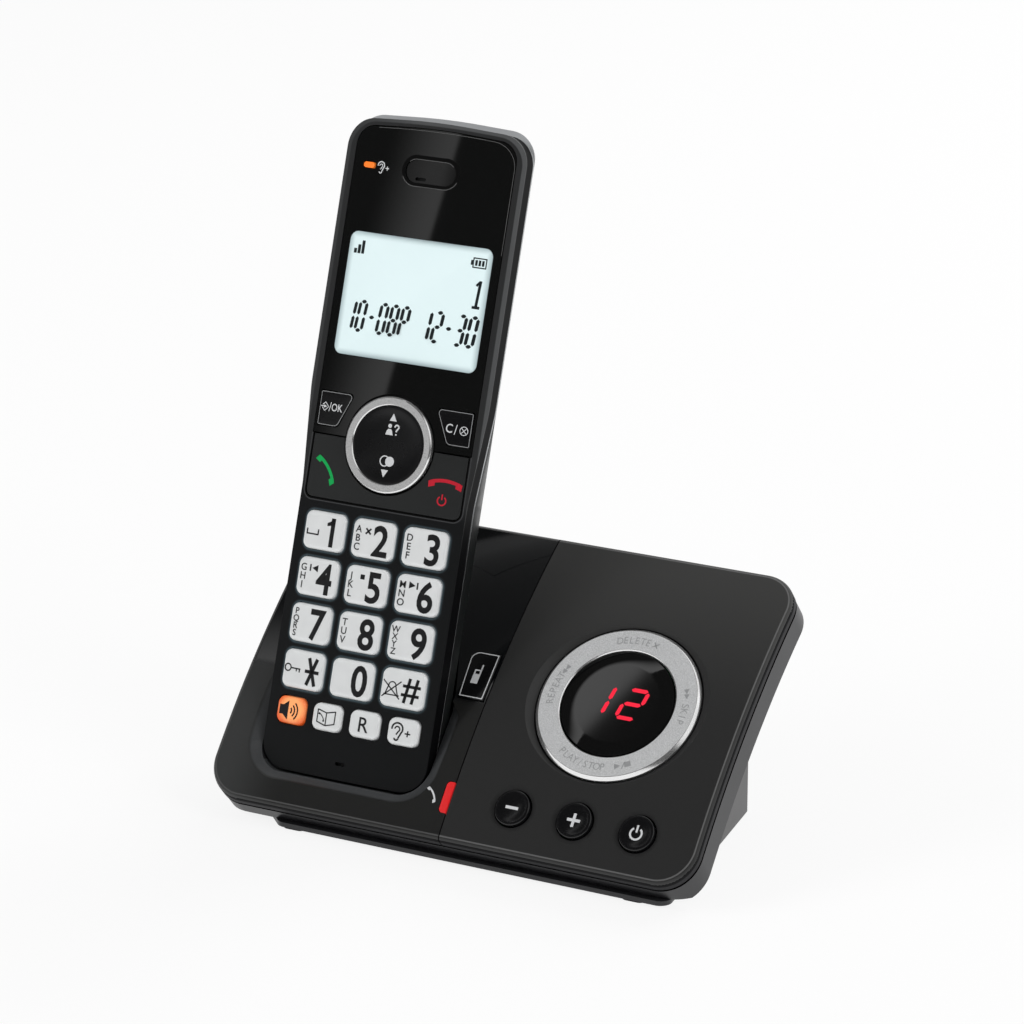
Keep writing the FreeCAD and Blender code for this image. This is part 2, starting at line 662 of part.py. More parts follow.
def draw_circle(sketch, x, y, radius):
    """Circle whose centre and radius are expressions."""
    center = FreeCAD.Vector(number(x), number(y), 0)
    circle = sketch.addGeometry(Part.Circle(center, FreeCAD.Vector(0, 0, 1), number(radius)), False)
    bindings = (
        (Sketcher.Constraint("DistanceX", -1, 1, circle, 3, number(x)), x),
        (Sketcher.Constraint("DistanceY", -1, 1, circle, 3, number(y)), y),
        (Sketcher.Constraint("Radius", circle, number(radius)), radius),
    )
    for constraint, expression in bindings:
        sketch.setExpression(f"Constraints[{sketch.addConstraint(constraint)}]", expression)


def centered(width, height):
    """Corners of a rectangle about the sketch's origin, as expressions."""
    right, top = f"({width}) / 2", f"({height}) / 2"
    return ((f"-{right}", f"-{top}"), (right, f"-{top}"), (right, top), (f"-{right}", top))


def pad(body, sketch, length):
    """Pad of a sketch upwards by an expression."""
    feature = body.newObject("PartDesign::Pad", "Pad")
    feature.Profile = sketch
    feature.Length = number(length)
    feature.setExpression("Length", length)
    sketch.Visibility = False
    return feature


def pocket(body, sketch, length, against=False):
    """Pocket of a sketch by an expression; against turns it the other way."""
    feature = body.newObject("PartDesign::Pocket", "Pocket")
    feature.Profile = sketch
    feature.Length = number(length)
    feature.Reversed = against
    feature.setExpression("Length", length)
    return feature


def round_edges(body, feature, radius, wanted):
    """Fillet on the edges that a test picks out."""
    document.recompute()
    edges = feature.Shape.Edges
    names = [f"Edge{index + 1}" for index, edge in enumerate(edges) if wanted(edge)]
    fillet = body.newObject("PartDesign::Fillet", "Fillet")
    fillet.Base = (feature, names)
    fillet.Radius = number(radius)
    fillet.setExpression("Radius", radius)
    return fillet


def is_upright(edge):
    """True for a straight edge along Z."""
    return isinstance(edge.Curve, Part.Line) and abs(edge.Curve.Direction.z) > 0.999


def is_at(height):
    """Test for edges that lie level at a height."""
    def test(edge):
        bounds = edge.BoundBox
        return abs(bounds.ZMin - height) < 1e-4 and abs(bounds.ZMax - height) < 1e-4
    return test


def slab_body(label, corners, thickness, corner="", placement=None):
    """Flat piece: padded outline with rounded upright edges."""
    body = new_body(label)
    sketch = new_sketch(body, "XY_Plane")
    draw_outline(sketch, corners)
    feature = pad(body, sketch, thickness)
    if corner:
        round_edges(body, feature, corner, is_upright)
    if placement:
        body.Placement = placement
    return body


def turned_body(label, profile, placement):
    """Round piece: profile of (radius, height) expressions turned about Z."""
    body = new_body(label)
    sketch = new_sketch(body, "XZ_Plane")
    draw_outline(sketch, profile)
    feature = body.newObject("PartDesign::Revolution", "Revolution")
    feature.Profile = sketch
    feature.ReferenceAxis = (sketch, ["V_Axis"])
    feature.Angle = 360
    body.Placement = placement
    return body


def drum_profile(radius, low, high):
    """Profile of a plain drum between two heights."""
    return (("0", low), (radius, low), (radius, high), ("0", high))


# ---------------------------------------------------------------- base: shells


def well_form(extra):
    """Form of the well in the panel frame: the handset's form and a gap around it.

    It is open towards the handset's front, so that the whole foot shows."""
    to_panel = panel_frame().inverse().multiply(handset_frame())
    grow, reach = mm("well_clearance") + extra, mm("handset_bottom")
    long_form = handset_form(grow, open_top=reach)
    right = handset_plan(grow, mm("handset_top") + grow + reach, 0)
    left = [(-x, y, radius) for x, y, radius in reversed(right)]
    mouth = rounded_prism(right + left, -mm("front_shell_depth") / 2, mm("slab_depth"))
    return moved(long_form.fuse(mouth), to_panel)


def lip_form():
    """Shallow funnel for the sloping lip around the well's lower half, in the panel frame."""
    lean = math.radians(mm("handset_tilt") - mm("panel_tilt"))
    gap, slope = mm("well_clearance"), mm("lip_width") / mm("lip_depth")
    foot = mm("seat_slope") + gap * math.cos(lean)
    below = sag(mm("seat_slope")) + mm("seat_sink") + gap * math.sin(lean)
    foot += (below - sag(foot + mm("seat_sink") * math.tan(lean))) * math.tan(lean)
    reach = foot / 2
    side, level = mm("handset_waist") / 2 + gap, -sag(reach) / 2

    def outline(height):
        grow = (height + mm("lip_depth")) * slope
        corner = mm("bottom_corner") + gap + grow
        right = [(side + grow, -reach - grow, corner), (side + grow, 2 * reach + grow, corner)]
        left = [(-x, y, radius) for x, y, radius in reversed(right)]
        wire = rounded_wire(right + left)
        wire.translate(FreeCAD.Vector(0, 0, level + height))
        return wire

    funnel_form = Part.makeLoft([outline(-mm("lip_depth")), outline(mm("lip_depth"))], True, True)
    surface = tilted(0, -reach, -sag(reach), math.degrees(math.asin(reach / mm("panel_radius"))))
    form = moved(funnel_form, tilted(-mm("handset_center"), 0, 0, 0).multiply(surface))
    edge, end = -mm("handset_center") + side, -mm("lip_end")
    past = 4 * mm("lip_width")
    end_form = rounded_prism([(-mm("handset_center"), end, 0), (edge, end, 0),
                              (edge + past / 2, end - mm("lip_fade"), 0), (edge + past, end, 0),
                              (edge + past, foot + past, 0), (-mm("handset_center"), foot + past, 0)],
                             -past, past)
    return form.cut(end_form)


def pin_place(side):
    """Placement of a contact pin's axis, its z along the handset towards the well's mouth."""
    turn = FreeCAD.Rotation(FreeCAD.Vector(1, 0, 0), -90)
    foot = FreeCAD.Vector(side * mm("contact_place"), -mm("handset_bottom"), -mm("contact_depth"))
    return handset_frame().multiply(FreeCAD.Placement(foot, turn))


def screw_places():
    """Four screws of the slab in the panel frame; their columns grow out of its side walls."""
    side = mm("base_width") / 2 - 0.6 * mm("shell_wall") - mm("screw_column")
    rear, front = mm("slab_back") - mm("slab_corner"), -mm("slab_front") / 2
    return ((-side, rear), (side, rear), (-side, front), (side, front))


def base_screw_seat(slope):
    """Height of the flat seat under a screw head, in the panel frame."""
    return -sag(slope) - mm("slab_depth") + mm("shell_wall")


def cover_bosses(shell, left, right):
    """Shell with the bosses that its screws bite into."""
    wall, rim = mm("shell_wall"), mm("rim_depth")
    for x, slope in screw_places():
        if left < x < right:
            boss = disc(mm("screw_column"), -2 * mm("slab_depth"), 0, x, slope)
            boss = boss.common(panel_layer(wall / 2)).cut(panel_layer(rim))
            hole = disc(mm("screw_shank") + mm("screw_gap"), -2 * mm("slab_depth"), 0, x, slope)
            shell = shell.fuse(boss).cut(hole.common(panel_layer(wall)))
    return shell


def find_corners(gap=0):
    """Outline of the find key, or of its opening, in the panel frame."""
    half = mm("find_height") / 2 + gap
    left, right = -mm("find_left") - gap, -mm("find_right") + gap
    return (
        (left + mm("find_slant"), -half, 0),
        (right, -half, 0),
        (right, half, 0),
        (left, half, mm("find_corner") + gap),
    )


def lamp_corners(gap=0):
    """Outline of the in-use lamp, or of its notch, in the panel frame."""
    right = -mm("seam_gap") / 2
    left = right - mm("lamp_width") - gap
    low = -mm("lamp_slope") - mm("lamp_height") / 2 - gap
    high = low + mm("lamp_height") + 2 * gap
    corner = mm("lamp_width") * 0.5
    return ((left, low, corner), (right, low, 0), (right, high, 0), (left, high, corner))


def cradle_cover():
    """Left top shell with the deep well that holds the handset."""
    half, seam = mm("base_width") / 2, mm("seam_gap") / 2
    shell = top_shell(-half, -seam)
    cup = well_form(mm("well_wall")).common(panel_layer(mm("shell_wall") / 2))
    cavity = well_form(0)
    shell = cover_bosses(shell, -half, -seam).fuse(cup).cut(cavity).cut(lip_form())
    reach = mm("rim_depth") + mm("shell_wall")
    shell = shell.cut(rounded_prism(find_corners(mm("find_gap")), -reach, reach))
    shell = shell.cut(rounded_prism(lamp_corners(mm("find_gap") / 2), -2 * reach, reach))
    to_panel = panel_frame().inverse()
    for side in (-1, 1):
        hole = disc(mm("pin_radius") + mm("find_gap"), -2 * reach, reach)
        shell = shell.cut(moved(hole, to_panel.multiply(pin_place(side))))
    solid("cradle_cover", shell.removeSplitter(), panel_frame())


def button_places():
    """Name and X of the three round keys."""
    names = ("volume_down_key", "volume_up_key", "power_key")
    return [(name, mm("ring_center") + step * mm("button_pitch")) for step, name in
            zip((-1, 0, 1), names)]


def answering_panel():
    """Right top shell with the openings for the ring and the three round keys."""
    half, seam = mm("base_width") / 2, mm("seam_gap") / 2
    shell = cover_bosses(top_shell(seam, half), seam, half)
    reach = mm("rim_depth")
    opening = mm("ring_radius") + mm("ring_gap")
    moat = funnel(opening, mm("moat_radius"), mm("moat_depth"), reach, mm("ring_center"))
    shell = shell.cut(moat)
    to_panel = panel_frame().inverse()
    opening = mm("button_radius") + mm("button_gap")
    dish = funnel(opening, mm("dish_radius"), mm("dish_depth"), reach)
    for _, x in button_places():
        shell = shell.cut(moved(dish, to_panel.multiply(on_panel(x, -mm("button_slope")))))
    solid("answering_panel", shell.removeSplitter(), panel_frame())


def pedestal_corners(inset=0):
    """Plan of the pedestal: right side tapers to the rear, front left corner cut off."""
    wide, rear = mm("pedestal_half_width") - inset, mm("pedestal_rear_half") - inset
    front, back = -mm("pedestal_front") + inset, mm("pedestal_rear") - inset
    cut = mm("pedestal_chamfer")
    corner = max(mm("pedestal_corner") - inset, 0.5)
    return (
        (-wide + cut, front, corner),
        (wide, front, corner),
        (rear, back, corner),
        (-wide, back, corner),
        (-wide, front + cut, corner),
    )


def socket_windows():
    """Openings in the rear wall for the two sockets, in the base frame."""
    floor = mm("foot_proud") + mm("floor_wall")
    rear, gap = mm("pedestal_rear"), mm("socket_gap")
    windows = []
    for place, size in ((mm("jack_place"), mm("jack_height")), (mm("line_place"), mm("line_width"))):
        half = size / 2 + gap
        windows.append(box((place - half, place + half), (rear - 3 * mm("shell_wall"), rear + 1),
                           (floor, floor + size + 2 * gap)))
    return windows


def sound_slots():
    """Slots in the floor under the base loudspeaker."""
    width, reach = mm("slot_width"), mm("speaker_radius") * 0.6
    slots = []
    for step in (-2, -1, 0, 1, 2):
        y = mm("speaker_back") + step * mm("speaker_radius") * 0.22
        slots.append(box((mm("speaker_place") - reach, mm("speaker_place") + reach),
                         (y - width / 2, y + width / 2), (-1, mm("foot_proud") + 2 * mm("floor_wall"))))
    return slots


def foot_places():
    """Centres of the four feet in the base frame."""
    front, back = -mm("foot_front"), mm("foot_back")
    return [(side * spread, y) for y, spread in
            ((front, mm("foot_spread")), (back, mm("foot_rear_spread"))) for side in (-1, 1)]


def foot_shift(x, y):
    """Front left foot moves in beside the cut-off corner."""
    return x + mm("pedestal_chamfer") / 2 if x < 0 and y < 0 else x


def base_lower_housing():
    """Lower moulding: slab wall and underside on a hollow pedestal with a floor."""
    half, wall = mm("base_width") / 2, mm("shell_wall")
    frame = panel_frame()
    top = mm("rim_depth") + mm("parting_gap")
    low, floor = mm("foot_proud"), mm("foot_proud") + mm("floor_wall")
    high = 3 * ring_height()
    ring = slab_prism(-half, half, mm("parting_gap") / 2).common(panel_layer(top))
    ring = moved(ring.cut(panel_layer(mm("slab_depth"))), frame)
    ring = ring.common(box((-half, half), (-high, high), (low + mm("slab_lip"), high)))
    hollow = slab_prism(-half, half, wall).common(panel_layer(0))
    hollow = moved(hollow.cut(panel_layer(mm("slab_depth") - wall)), frame)
    hollow = hollow.common(box((-half, half), (-high, high), (floor + mm("slab_lip"), high)))
    under_panel = moved(slab_prism(-half, half).common(panel_layer(mm("slab_depth") - wall)), frame)
    tower = rounded_prism(pedestal_corners(), low, high).common(under_panel)
    tower = tower.fuse(rounded_prism(pedestal_corners(), low, low + mm("slab_lip")))
    open_panel = moved(slab_prism(-half, half, wall).common(panel_layer(0)), frame)
    inside = rounded_prism(pedestal_corners(wall), floor, high).common(open_panel)
    shell = ring.fuse(tower).cut(hollow).cut(inside)
    gap = mm("well_wall") + mm("parting_gap")
    shell = shell.cut(moved(well_form(gap), frame))
    for x, slope in screw_places():
        column = disc(mm("screw_column"), -2 * mm("slab_depth"), 0, x, slope)
        column = column.common(panel_layer(top)).cut(panel_layer(mm("slab_depth")))
        hole = disc(mm("screw_shank") + mm("screw_gap"), -3 * mm("slab_depth"), 0, x, slope)
        seat = disc(mm("screw_head") + mm("screw_gap"), -3 * mm("slab_depth"),
                    base_screw_seat(slope), x, slope)
        shell = shell.fuse(moved(column, frame)).cut(moved(hole.fuse(seat), frame))
    for window in socket_windows() + sound_slots():
        shell = shell.cut(window)
    for x, y in foot_places():
        pad_shape = rectangle(mm("foot_width"), mm("foot_length"), 1.5, foot_shift(x, y), y)
        shell = shell.cut(rounded_prism(pad_shape, low - 1, low + mm("foot_recess")))
    solid("base_lower_housing", shell.removeSplitter())


# ---------------------------------------------------------------- base: ring, window and keys


def ring_frame():
    return in_panel(mm("ring_center"), 0, -mm("ring_sink"))


def dial_ring():
    """Silver ring, pressed at its four sides, with a bright bevel round the outside."""
    outer, bore = "Sizes.ring_radius", "Sizes.ring_bore"
    depth, bevel = "-Sizes.ring_thickness", "Sizes.ring_chamfer"
    profile = (
        (bore, depth),
        (outer, depth),
        (outer, f"-{bevel}"),
        (f"{outer} - {bevel}", "0"),
        (bore, "0"),
    )
    turned_body("dial_ring", profile, ring_frame())


def dial_key_carrier():
    """Ring under the silver one: a flange below the panel and four pegs over the switches."""
    body = new_body("dial_key_carrier")
    sketch = new_sketch(body, "XZ_Plane")
    bore, flange = "Sizes.carrier_bore", "Sizes.carrier_flange"
    body_radius = "Sizes.ring_radius - Sizes.fit_gap"
    top = "-Sizes.ring_thickness - Sizes.ring_gap"
    drop = sag(mm("carrier_flange"))
    shoulder = f"-(Sizes.shell_wall - Sizes.ring_sink + Sizes.rocker_room + {drop})"
    bottom = f"{shoulder} - Sizes.flange_thickness"
    draw_outline(sketch, (
        (bore, bottom),
        (flange, bottom),
        (flange, shoulder),
        (body_radius, shoulder),
        (body_radius, top),
        (bore, top),
    ))
    ring = body.newObject("PartDesign::Revolution", "Revolution")
    ring.Profile = sketch
    ring.ReferenceAxis = (sketch, ["V_Axis"])
    ring.Angle = 360
    peg_sketch = new_sketch(body, "XY_Plane")
    lift = "-(Sizes.board_depth - Sizes.switch_height - Sizes.ring_sink - Sizes.ring_gap)"
    peg_sketch.AttachmentOffset = tilted(0, 0, number(lift), 0)
    peg_sketch.setExpression("AttachmentOffset.Base.z", lift)
    draw_circle(peg_sketch, "Sizes.peg_circle", "0", "Sizes.peg_radius")
    peg = pad(body, peg_sketch, f"{bottom} - ({lift}) + Sizes.flange_thickness / 2")
    pegs = body.newObject("PartDesign::PolarPattern", "Pegs")
    pegs.Originals = [peg]
    pegs.Axis = (peg_sketch, ["N_Axis"])
    pegs.Angle = 360
    pegs.Occurrences = 4
    body.Tip = pegs
    body.Placement = ring_frame()


def display_window():
    """Round black window on a skirt that stands on the board."""
    radius, skirt = "Sizes.window_radius", "Sizes.skirt_radius"
    under = "-Sizes.window_thickness"
    foot = "-(Sizes.board_depth - Sizes.ring_sink - Sizes.screw_gap)"
    profile = (
        ("0", "0"),
        (radius, "0"),
        (radius, under),
        (skirt, under),
        (skirt, foot),
        (f"{skirt} - Sizes.skirt_wall", foot),
        (f"{skirt} - Sizes.skirt_wall", under),
        ("0", under),
    )
    turned_body("display_window", profile, ring_frame())


def message_display():
    """Two-digit counter module on the board, under the window."""
    height = "Sizes.board_depth - Sizes.ring_sink - Sizes.window_thickness - 2 * Sizes.fit_gap"
    foot = -mm("board_depth") + mm("screw_gap")
    slab_body("message_display", centered("Sizes.counter_width", "Sizes.counter_height"), height,
              "", in_panel(mm("ring_center"), 0, foot))


def round_keys():
    """Three domed round keys, each with a flange under the panel and a stem over its switch."""
    cap, flange = "Sizes.button_radius", "Sizes.button_radius + Sizes.button_flange"
    shoulder = "-Sizes.shell_wall - 2 * Sizes.fit_gap"
    flange_foot = f"{shoulder} - Sizes.flange_thickness"
    drop = sag(mm("button_slope"))
    switch_top = f"-(Sizes.board_depth - Sizes.switch_height - {drop})"
    foot = f"{switch_top} + Sizes.key_travel + 2 * Sizes.fit_gap"
    crown = "Sizes.key_crown"
    profile = (
        ("0", foot),
        ("Sizes.stem_radius", foot),
        ("Sizes.stem_radius", flange_foot),
        (flange, flange_foot),
        (flange, shoulder),
        (cap, shoulder),
        (cap, f"Sizes.button_proud - {crown}"),
        (f"{cap} - {crown}", "Sizes.button_proud"),
        ("0", "Sizes.button_proud"),
    )
    for name, x in button_places():
        turned_body(name, profile, on_panel(x, -mm("button_slope")))


def find_handset_key():
    """Glossy key beside the seam; its long body reaches down to its switch."""
    foot = "Sizes.board_depth - Sizes.switch_height - Sizes.key_travel - Sizes.screw_gap"
    left, half = "-Sizes.find_left", "Sizes.find_height / 2"
    corners = (
        (f"{left} + Sizes.find_slant", f"-{half}"),
        ("-Sizes.find_right", f"-{half}"),
        ("-Sizes.find_right", half),
        (left, half),
    )
    body = new_body("find_handset_key")
    sketch = new_sketch(body, "XY_Plane")
    draw_outline(sketch, corners)
    feature = pad(body, sketch, f"{foot} + Sizes.key_crown")

    def is_upper_left(edge):
        return is_upright(edge) and edge.BoundBox.XMax < -mm("find_right") and edge.BoundBox.YMin > 0

    round_edges(body, feature, "Sizes.find_corner", is_upper_left)
    body.Placement = in_panel(0, 0, -number(foot))


def in_use_lamp():
    """Red light pipe set into the edge of the cradle cover at the seam."""
    depth = mm("lamp_depth")
    shape = rounded_prism(lamp_corners(), -2 * depth, depth)
    shape = shape.common(panel_layer(-mm("fit_gap") / 2))
    solid("in_use_lamp", shape.cut(panel_layer(depth)), panel_frame())


def base_circuit_board():
    corners = (
        ("-Sizes.board_left", "-Sizes.board_front"),
        ("Sizes.board_right", "-Sizes.board_front"),
        ("Sizes.board_right", "Sizes.board_back"),
        ("-Sizes.board_left", "Sizes.board_back"),
    )
    foot = -mm("board_depth") - mm("board_thickness")
    slab_body("base_circuit_board", corners, "Sizes.board_thickness", "Sizes.key_corner",
              in_panel(0, 0, foot))


def base_tact_switches():
    """Eight switches on the board: three round keys, the find key and the ring's four sides."""
    half, height = mm("switch_size") / 2, mm("switch_height")
    find_x = -(mm("find_left") + mm("find_right")) / 2 + mm("find_slant") / 2
    circle, middle = mm("peg_circle"), mm("ring_center")
    places = [(x, -mm("button_slope")) for _, x in button_places()] + [(find_x, 0)]
    places += [(middle + circle, 0), (middle - circle, 0), (middle, circle), (middle, -circle)]
    level = -mm("board_depth")
    switches = [box((x - half, x + half), (y - half, y + half), (level, level + height))
                for x, y in places]
    solid("base_tact_switches", Part.makeCompound(switches), panel_frame())


def base_loudspeaker():
    """Loudspeaker lying face down on the floor over the sound slots."""
    radius, height = "Sizes.speaker_radius", "Sizes.speaker_height"
    profile = (
        ("0", "0"),
        (radius, "0"),
        (radius, f"{height} * 0.25"),
        (f"{radius} * 0.5", f"{height} * 0.6"),
        (f"{radius} * 0.5", height),
        ("0", height),
    )
    level = mm("foot_proud") + mm("floor_wall") + mm("screw_gap")
    turned_body("base_loudspeaker", profile, tilted(mm("speaker_place"), mm("speaker_back"), level, 0))


def socket_body(label, size, place, draw_opening):
    """Socket block on the floor behind the rear wall, opening to the rear."""
    body = new_body(label)
    sketch = new_sketch(body, "XZ_Plane")
    draw_outline(sketch, centered(size, size))
    pad(body, sketch, "Sizes.socket_length")
    opening = new_sketch(body, "XZ_Plane")
    opening.AttachmentOffset = tilted(0, 0, mm("socket_length"), 0)
    opening.setExpression("AttachmentOffset.Base.z", "Sizes.socket_length")
    draw_opening(opening)
    pocket(body, opening, "Sizes.jack_depth")
    level = mm("foot_proud") + mm("floor_wall") + mm("socket_gap") + number(size) / 2
    body.Placement = FreeCAD.Placement(
        FreeCAD.Vector(place, mm("pedestal_rear") - mm("socket_length"), level),
        FreeCAD.Rotation(FreeCAD.Vector(0, 0, 1), 180),
    )


def sockets():
    """Round power socket and square line socket side by side in the rear wall."""
    def draw_bore(sketch):
        draw_circle(sketch, "0", "0", "Sizes.jack_bore")

    def draw_line_opening(sketch):
        draw_outline(sketch, centered("Sizes.line_opening", "Sizes.line_rise"))

    socket_body("power_jack", "Sizes.jack_height", mm("jack_place"), draw_bore)
    socket_body("line_jack", "Sizes.line_width", mm("line_place"), draw_line_opening)


def charge_contacts():
    """Two sprung pins through the floor of the well, one under each contact of the handset."""
    pin, flange = "Sizes.pin_radius", "Sizes.pin_flange"
    tip = "-Sizes.fit_gap / 2"
    collar = "-Sizes.well_clearance - Sizes.well_wall - Sizes.fit_gap / 2"
    foot = f"{collar} - Sizes.flange_thickness"
    profile = (("0", foot), (flange, foot), (flange, collar), (pin, collar), (pin, tip), ("0", tip))
    for label, side in (("charge_contact_left", -1), ("charge_contact_right", 1)):
        turned_body(label, profile, pin_place(side))


def base_screws():
    """Four screws from below that hold the covers on the lower housing."""
    wall = mm("shell_wall")
    screws = []
    for x, slope in screw_places():
        seat = base_screw_seat(slope) - mm("screw_gap")
        head = disc(mm("screw_head"), seat - 0.75 * wall, seat, x, slope)
        tip = -sag(slope) - wall - 2 * mm("fit_gap")
        screws.append(head.fuse(disc(mm("screw_shank"), seat - wall / 2, tip, x, slope)))
    solid("base_screws", Part.makeCompound(screws), panel_frame())


def rubber_feet():
    """Four pads in recesses of the floor."""
    low = mm("foot_proud") + mm("foot_recess")
    feet = [rounded_prism(rectangle(mm("foot_width"), mm("foot_length"), 1.5, foot_shift(x, y), y),
                          0, low) for x, y in foot_places()]
    solid("rubber_feet", Part.makeCompound(feet))


# ---------------------------------------------------------------- handset: shells and plates


def plate_corners(gap=0):
    """Outline of the glossy faceplate, down to the upper edge of the call key."""
    half = mm("plate_width") / 2 + gap
    top, corner = mm("plate_top") + gap, mm("plate_corner") + gap
    low = mm("fit_gap") * 2 - gap
    return (
        (-half, low, 0),
        (half, low, 0),
        (half, top, corner),
        (0, top + mm("top_arch"), mm("front_curve")),
        (-half, top, corner),
    )


def soft_corners(side, gap=0):
    """Outline of the left (-1) or right (1) soft key, or of its opening."""
    corners = (
        (mm("soft_inner_bottom") - gap, mm("soft_bottom") - gap, 1.5),
        (mm("soft_outer") + gap, mm("soft_bottom") - gap, 0.4),
        (mm("soft_outer") + gap, mm("soft_top") + gap, 0.4),
        (mm("soft_inner_top") - gap, mm("soft_top") + gap, 1.0),
    )
    return [(side * x, y, radius) for x, y, radius in corners][::side]


def call_corners(gap=0):
    """Outline of the call key without its round cut-out."""
    half = mm("call_width") / 2 + gap
    low, corner = -mm("call_bottom") - gap, mm("call_corner") + gap
    return ((-half, low, corner), (half, low, corner), (half, gap, 0), (-half, gap, 0))


def front_band(corners, top, bottom):
    """Piece of the curved front over an outline, between two depths."""
    reach = mm("handset_depth")
    return rounded_prism(corners, -reach, reach).common(front_layer(top)).cut(front_layer(bottom))


def key_places():
    """Label, column offset and row of the twelve number keys."""
    labels = ("key_1", "key_2", "key_3", "key_4", "key_5", "key_6",
              "key_7", "key_8", "key_9", "key_star", "key_0", "key_hash")
    return [(label, (index % 3 - 1) * mm("key_pitch"),
             -mm("first_row") - index // 3 * mm("row_pitch")) for index, label in enumerate(labels)]


def small_places():
    """Label and place of the four function keys."""
    labels = ("speaker_key", "phonebook_key", "flash_key", "boost_key")
    return [(label, (index - 1.5) * mm("small_pitch"), -mm("small_row"))
            for index, label in enumerate(labels)]


def ear_corners(gap=0):
    height = mm("ear_height") + 2 * gap
    return rectangle(mm("ear_width") + 2 * gap, height, height * 0.49, 0, mm("ear_center"))


def lens_corners(gap=0):
    return rectangle(mm("lens_width") + 2 * gap, mm("lens_height") + 2 * gap,
                     mm("lens_corner") + gap, 0, mm("lens_center"))


def boost_corners(gap=0):
    return rectangle(mm("boost_width") + 2 * gap, mm("boost_height") + 2 * gap,
                     mm("boost_height") * 0.4, -mm("boost_place"), mm("ear_center"))


def handset_front_shell():
    """Front moulding with a recess for the faceplate and an opening for every key."""
    wall, gap, depth = mm("handset_wall"), mm("fit_gap"), mm("handset_depth")
    plate = mm("plate_thickness") + gap
    reach = 2 * mm("handset_bottom")
    split = box((-depth * 2, depth * 2), (-reach, reach), (-mm("front_shell_depth"), depth))
    shell = handset_form().common(split)
    inner = handset_form(-wall)
    call_floor = mm("call_thickness") + mm("rock_gap")
    hollow = inner.common(front_layer(wall)).cut(rounded_prism(plate_corners(wall), -depth, depth))
    hollow = hollow.fuse(inner.common(front_layer(wall + plate)))
    hollow = hollow.cut(front_band(call_corners(wall), wall, call_floor + mm("plate_thickness")))
    call_well = front_band(call_corners(gap), -depth, call_floor)
    shell = shell.cut(hollow)
    shell = shell.cut(front_band(plate_corners(gap), -depth, plate)).cut(call_well)
    shell = shell.cut(disc(mm("nav_radius") + mm("nav_gap"), -plate, depth))
    holes = [rounded_prism(soft_corners(side, 2 * gap), -depth, depth) for side in (-1, 1)]
    holes.append(disc(mm("nav_bore") + mm("nav_neck_gap"), -depth, depth))
    holes.append(rounded_prism(rectangle(mm("lens_width") - 2, mm("lens_height") - 2, 1.2, 0,
                                         mm("lens_center")), -depth, depth))
    holes.append(rounded_prism(rectangle(mm("ear_height"), 1.6, 0.7, 0, mm("ear_center")),
                               -depth, depth))
    holes.append(rounded_prism(boost_corners(gap), -depth, depth))
    slot = rectangle(mm("mic_slot_width"), mm("mic_slot_height"), 0.44 * mm("mic_slot_height"),
                     0, -mm("mic_place"))
    holes.append(rounded_prism(slot, -depth, depth))
    for side in (-1, 1):
        stem = rectangle(4 + 6 * gap, 4 + 6 * gap, 0.5, side * mm("plunger_place"),
                         -mm("call_bottom") / 2)
        holes.append(rounded_prism(stem, -depth, depth))
    to_handset = handset_frame().inverse()
    sizes = ((key_places(), mm("key_width"), mm("key_height")),
             (small_places(), mm("small_width"), mm("small_height")))
    for places, width, height in sizes:
        for _, x, y in places:
            outline = rectangle(width + 2 * mm("key_gap"), height + 2 * mm("key_gap"),
                                mm("key_corner"))
            hole = rounded_prism(outline, -4 * wall, 4 * wall)
            holes.append(moved(hole, to_handset.multiply(on_front(x, y))))
    shell = shell.cut(Part.makeCompound(holes))
    for x, y in handset_screw_places():
        boss = disc(mm("screw_column"), -mm("front_shell_depth"), 0, x, y)
        boss = boss.common(front_layer(plate + wall / 2))
        hole = disc(mm("screw_shank") + mm("screw_gap"), -depth, 0, x, y)
        shell = shell.fuse(boss).cut(hole.common(front_layer(plate + wall)))
    solid("handset_front_shell", shell.removeSplitter(), handset_frame())


def handset_screw_places():
    """Two screws in the upper corners of the handset."""
    x = mm("handset_width") / 2 - mm("top_corner") - mm("fit_gap")
    y = mm("handset_top") - mm("top_corner")
    return ((-x, y), (x, y))


def bay_width():
    return 4 * mm("cell_radius") + 3 * mm("bay_gap")


def bay_ends():
    """Lower and upper end of the battery bay."""
    low = -mm("bay_bottom")
    return low, low + mm("cell_length") + 2 * mm("bay_gap") + mm("contact_thickness")


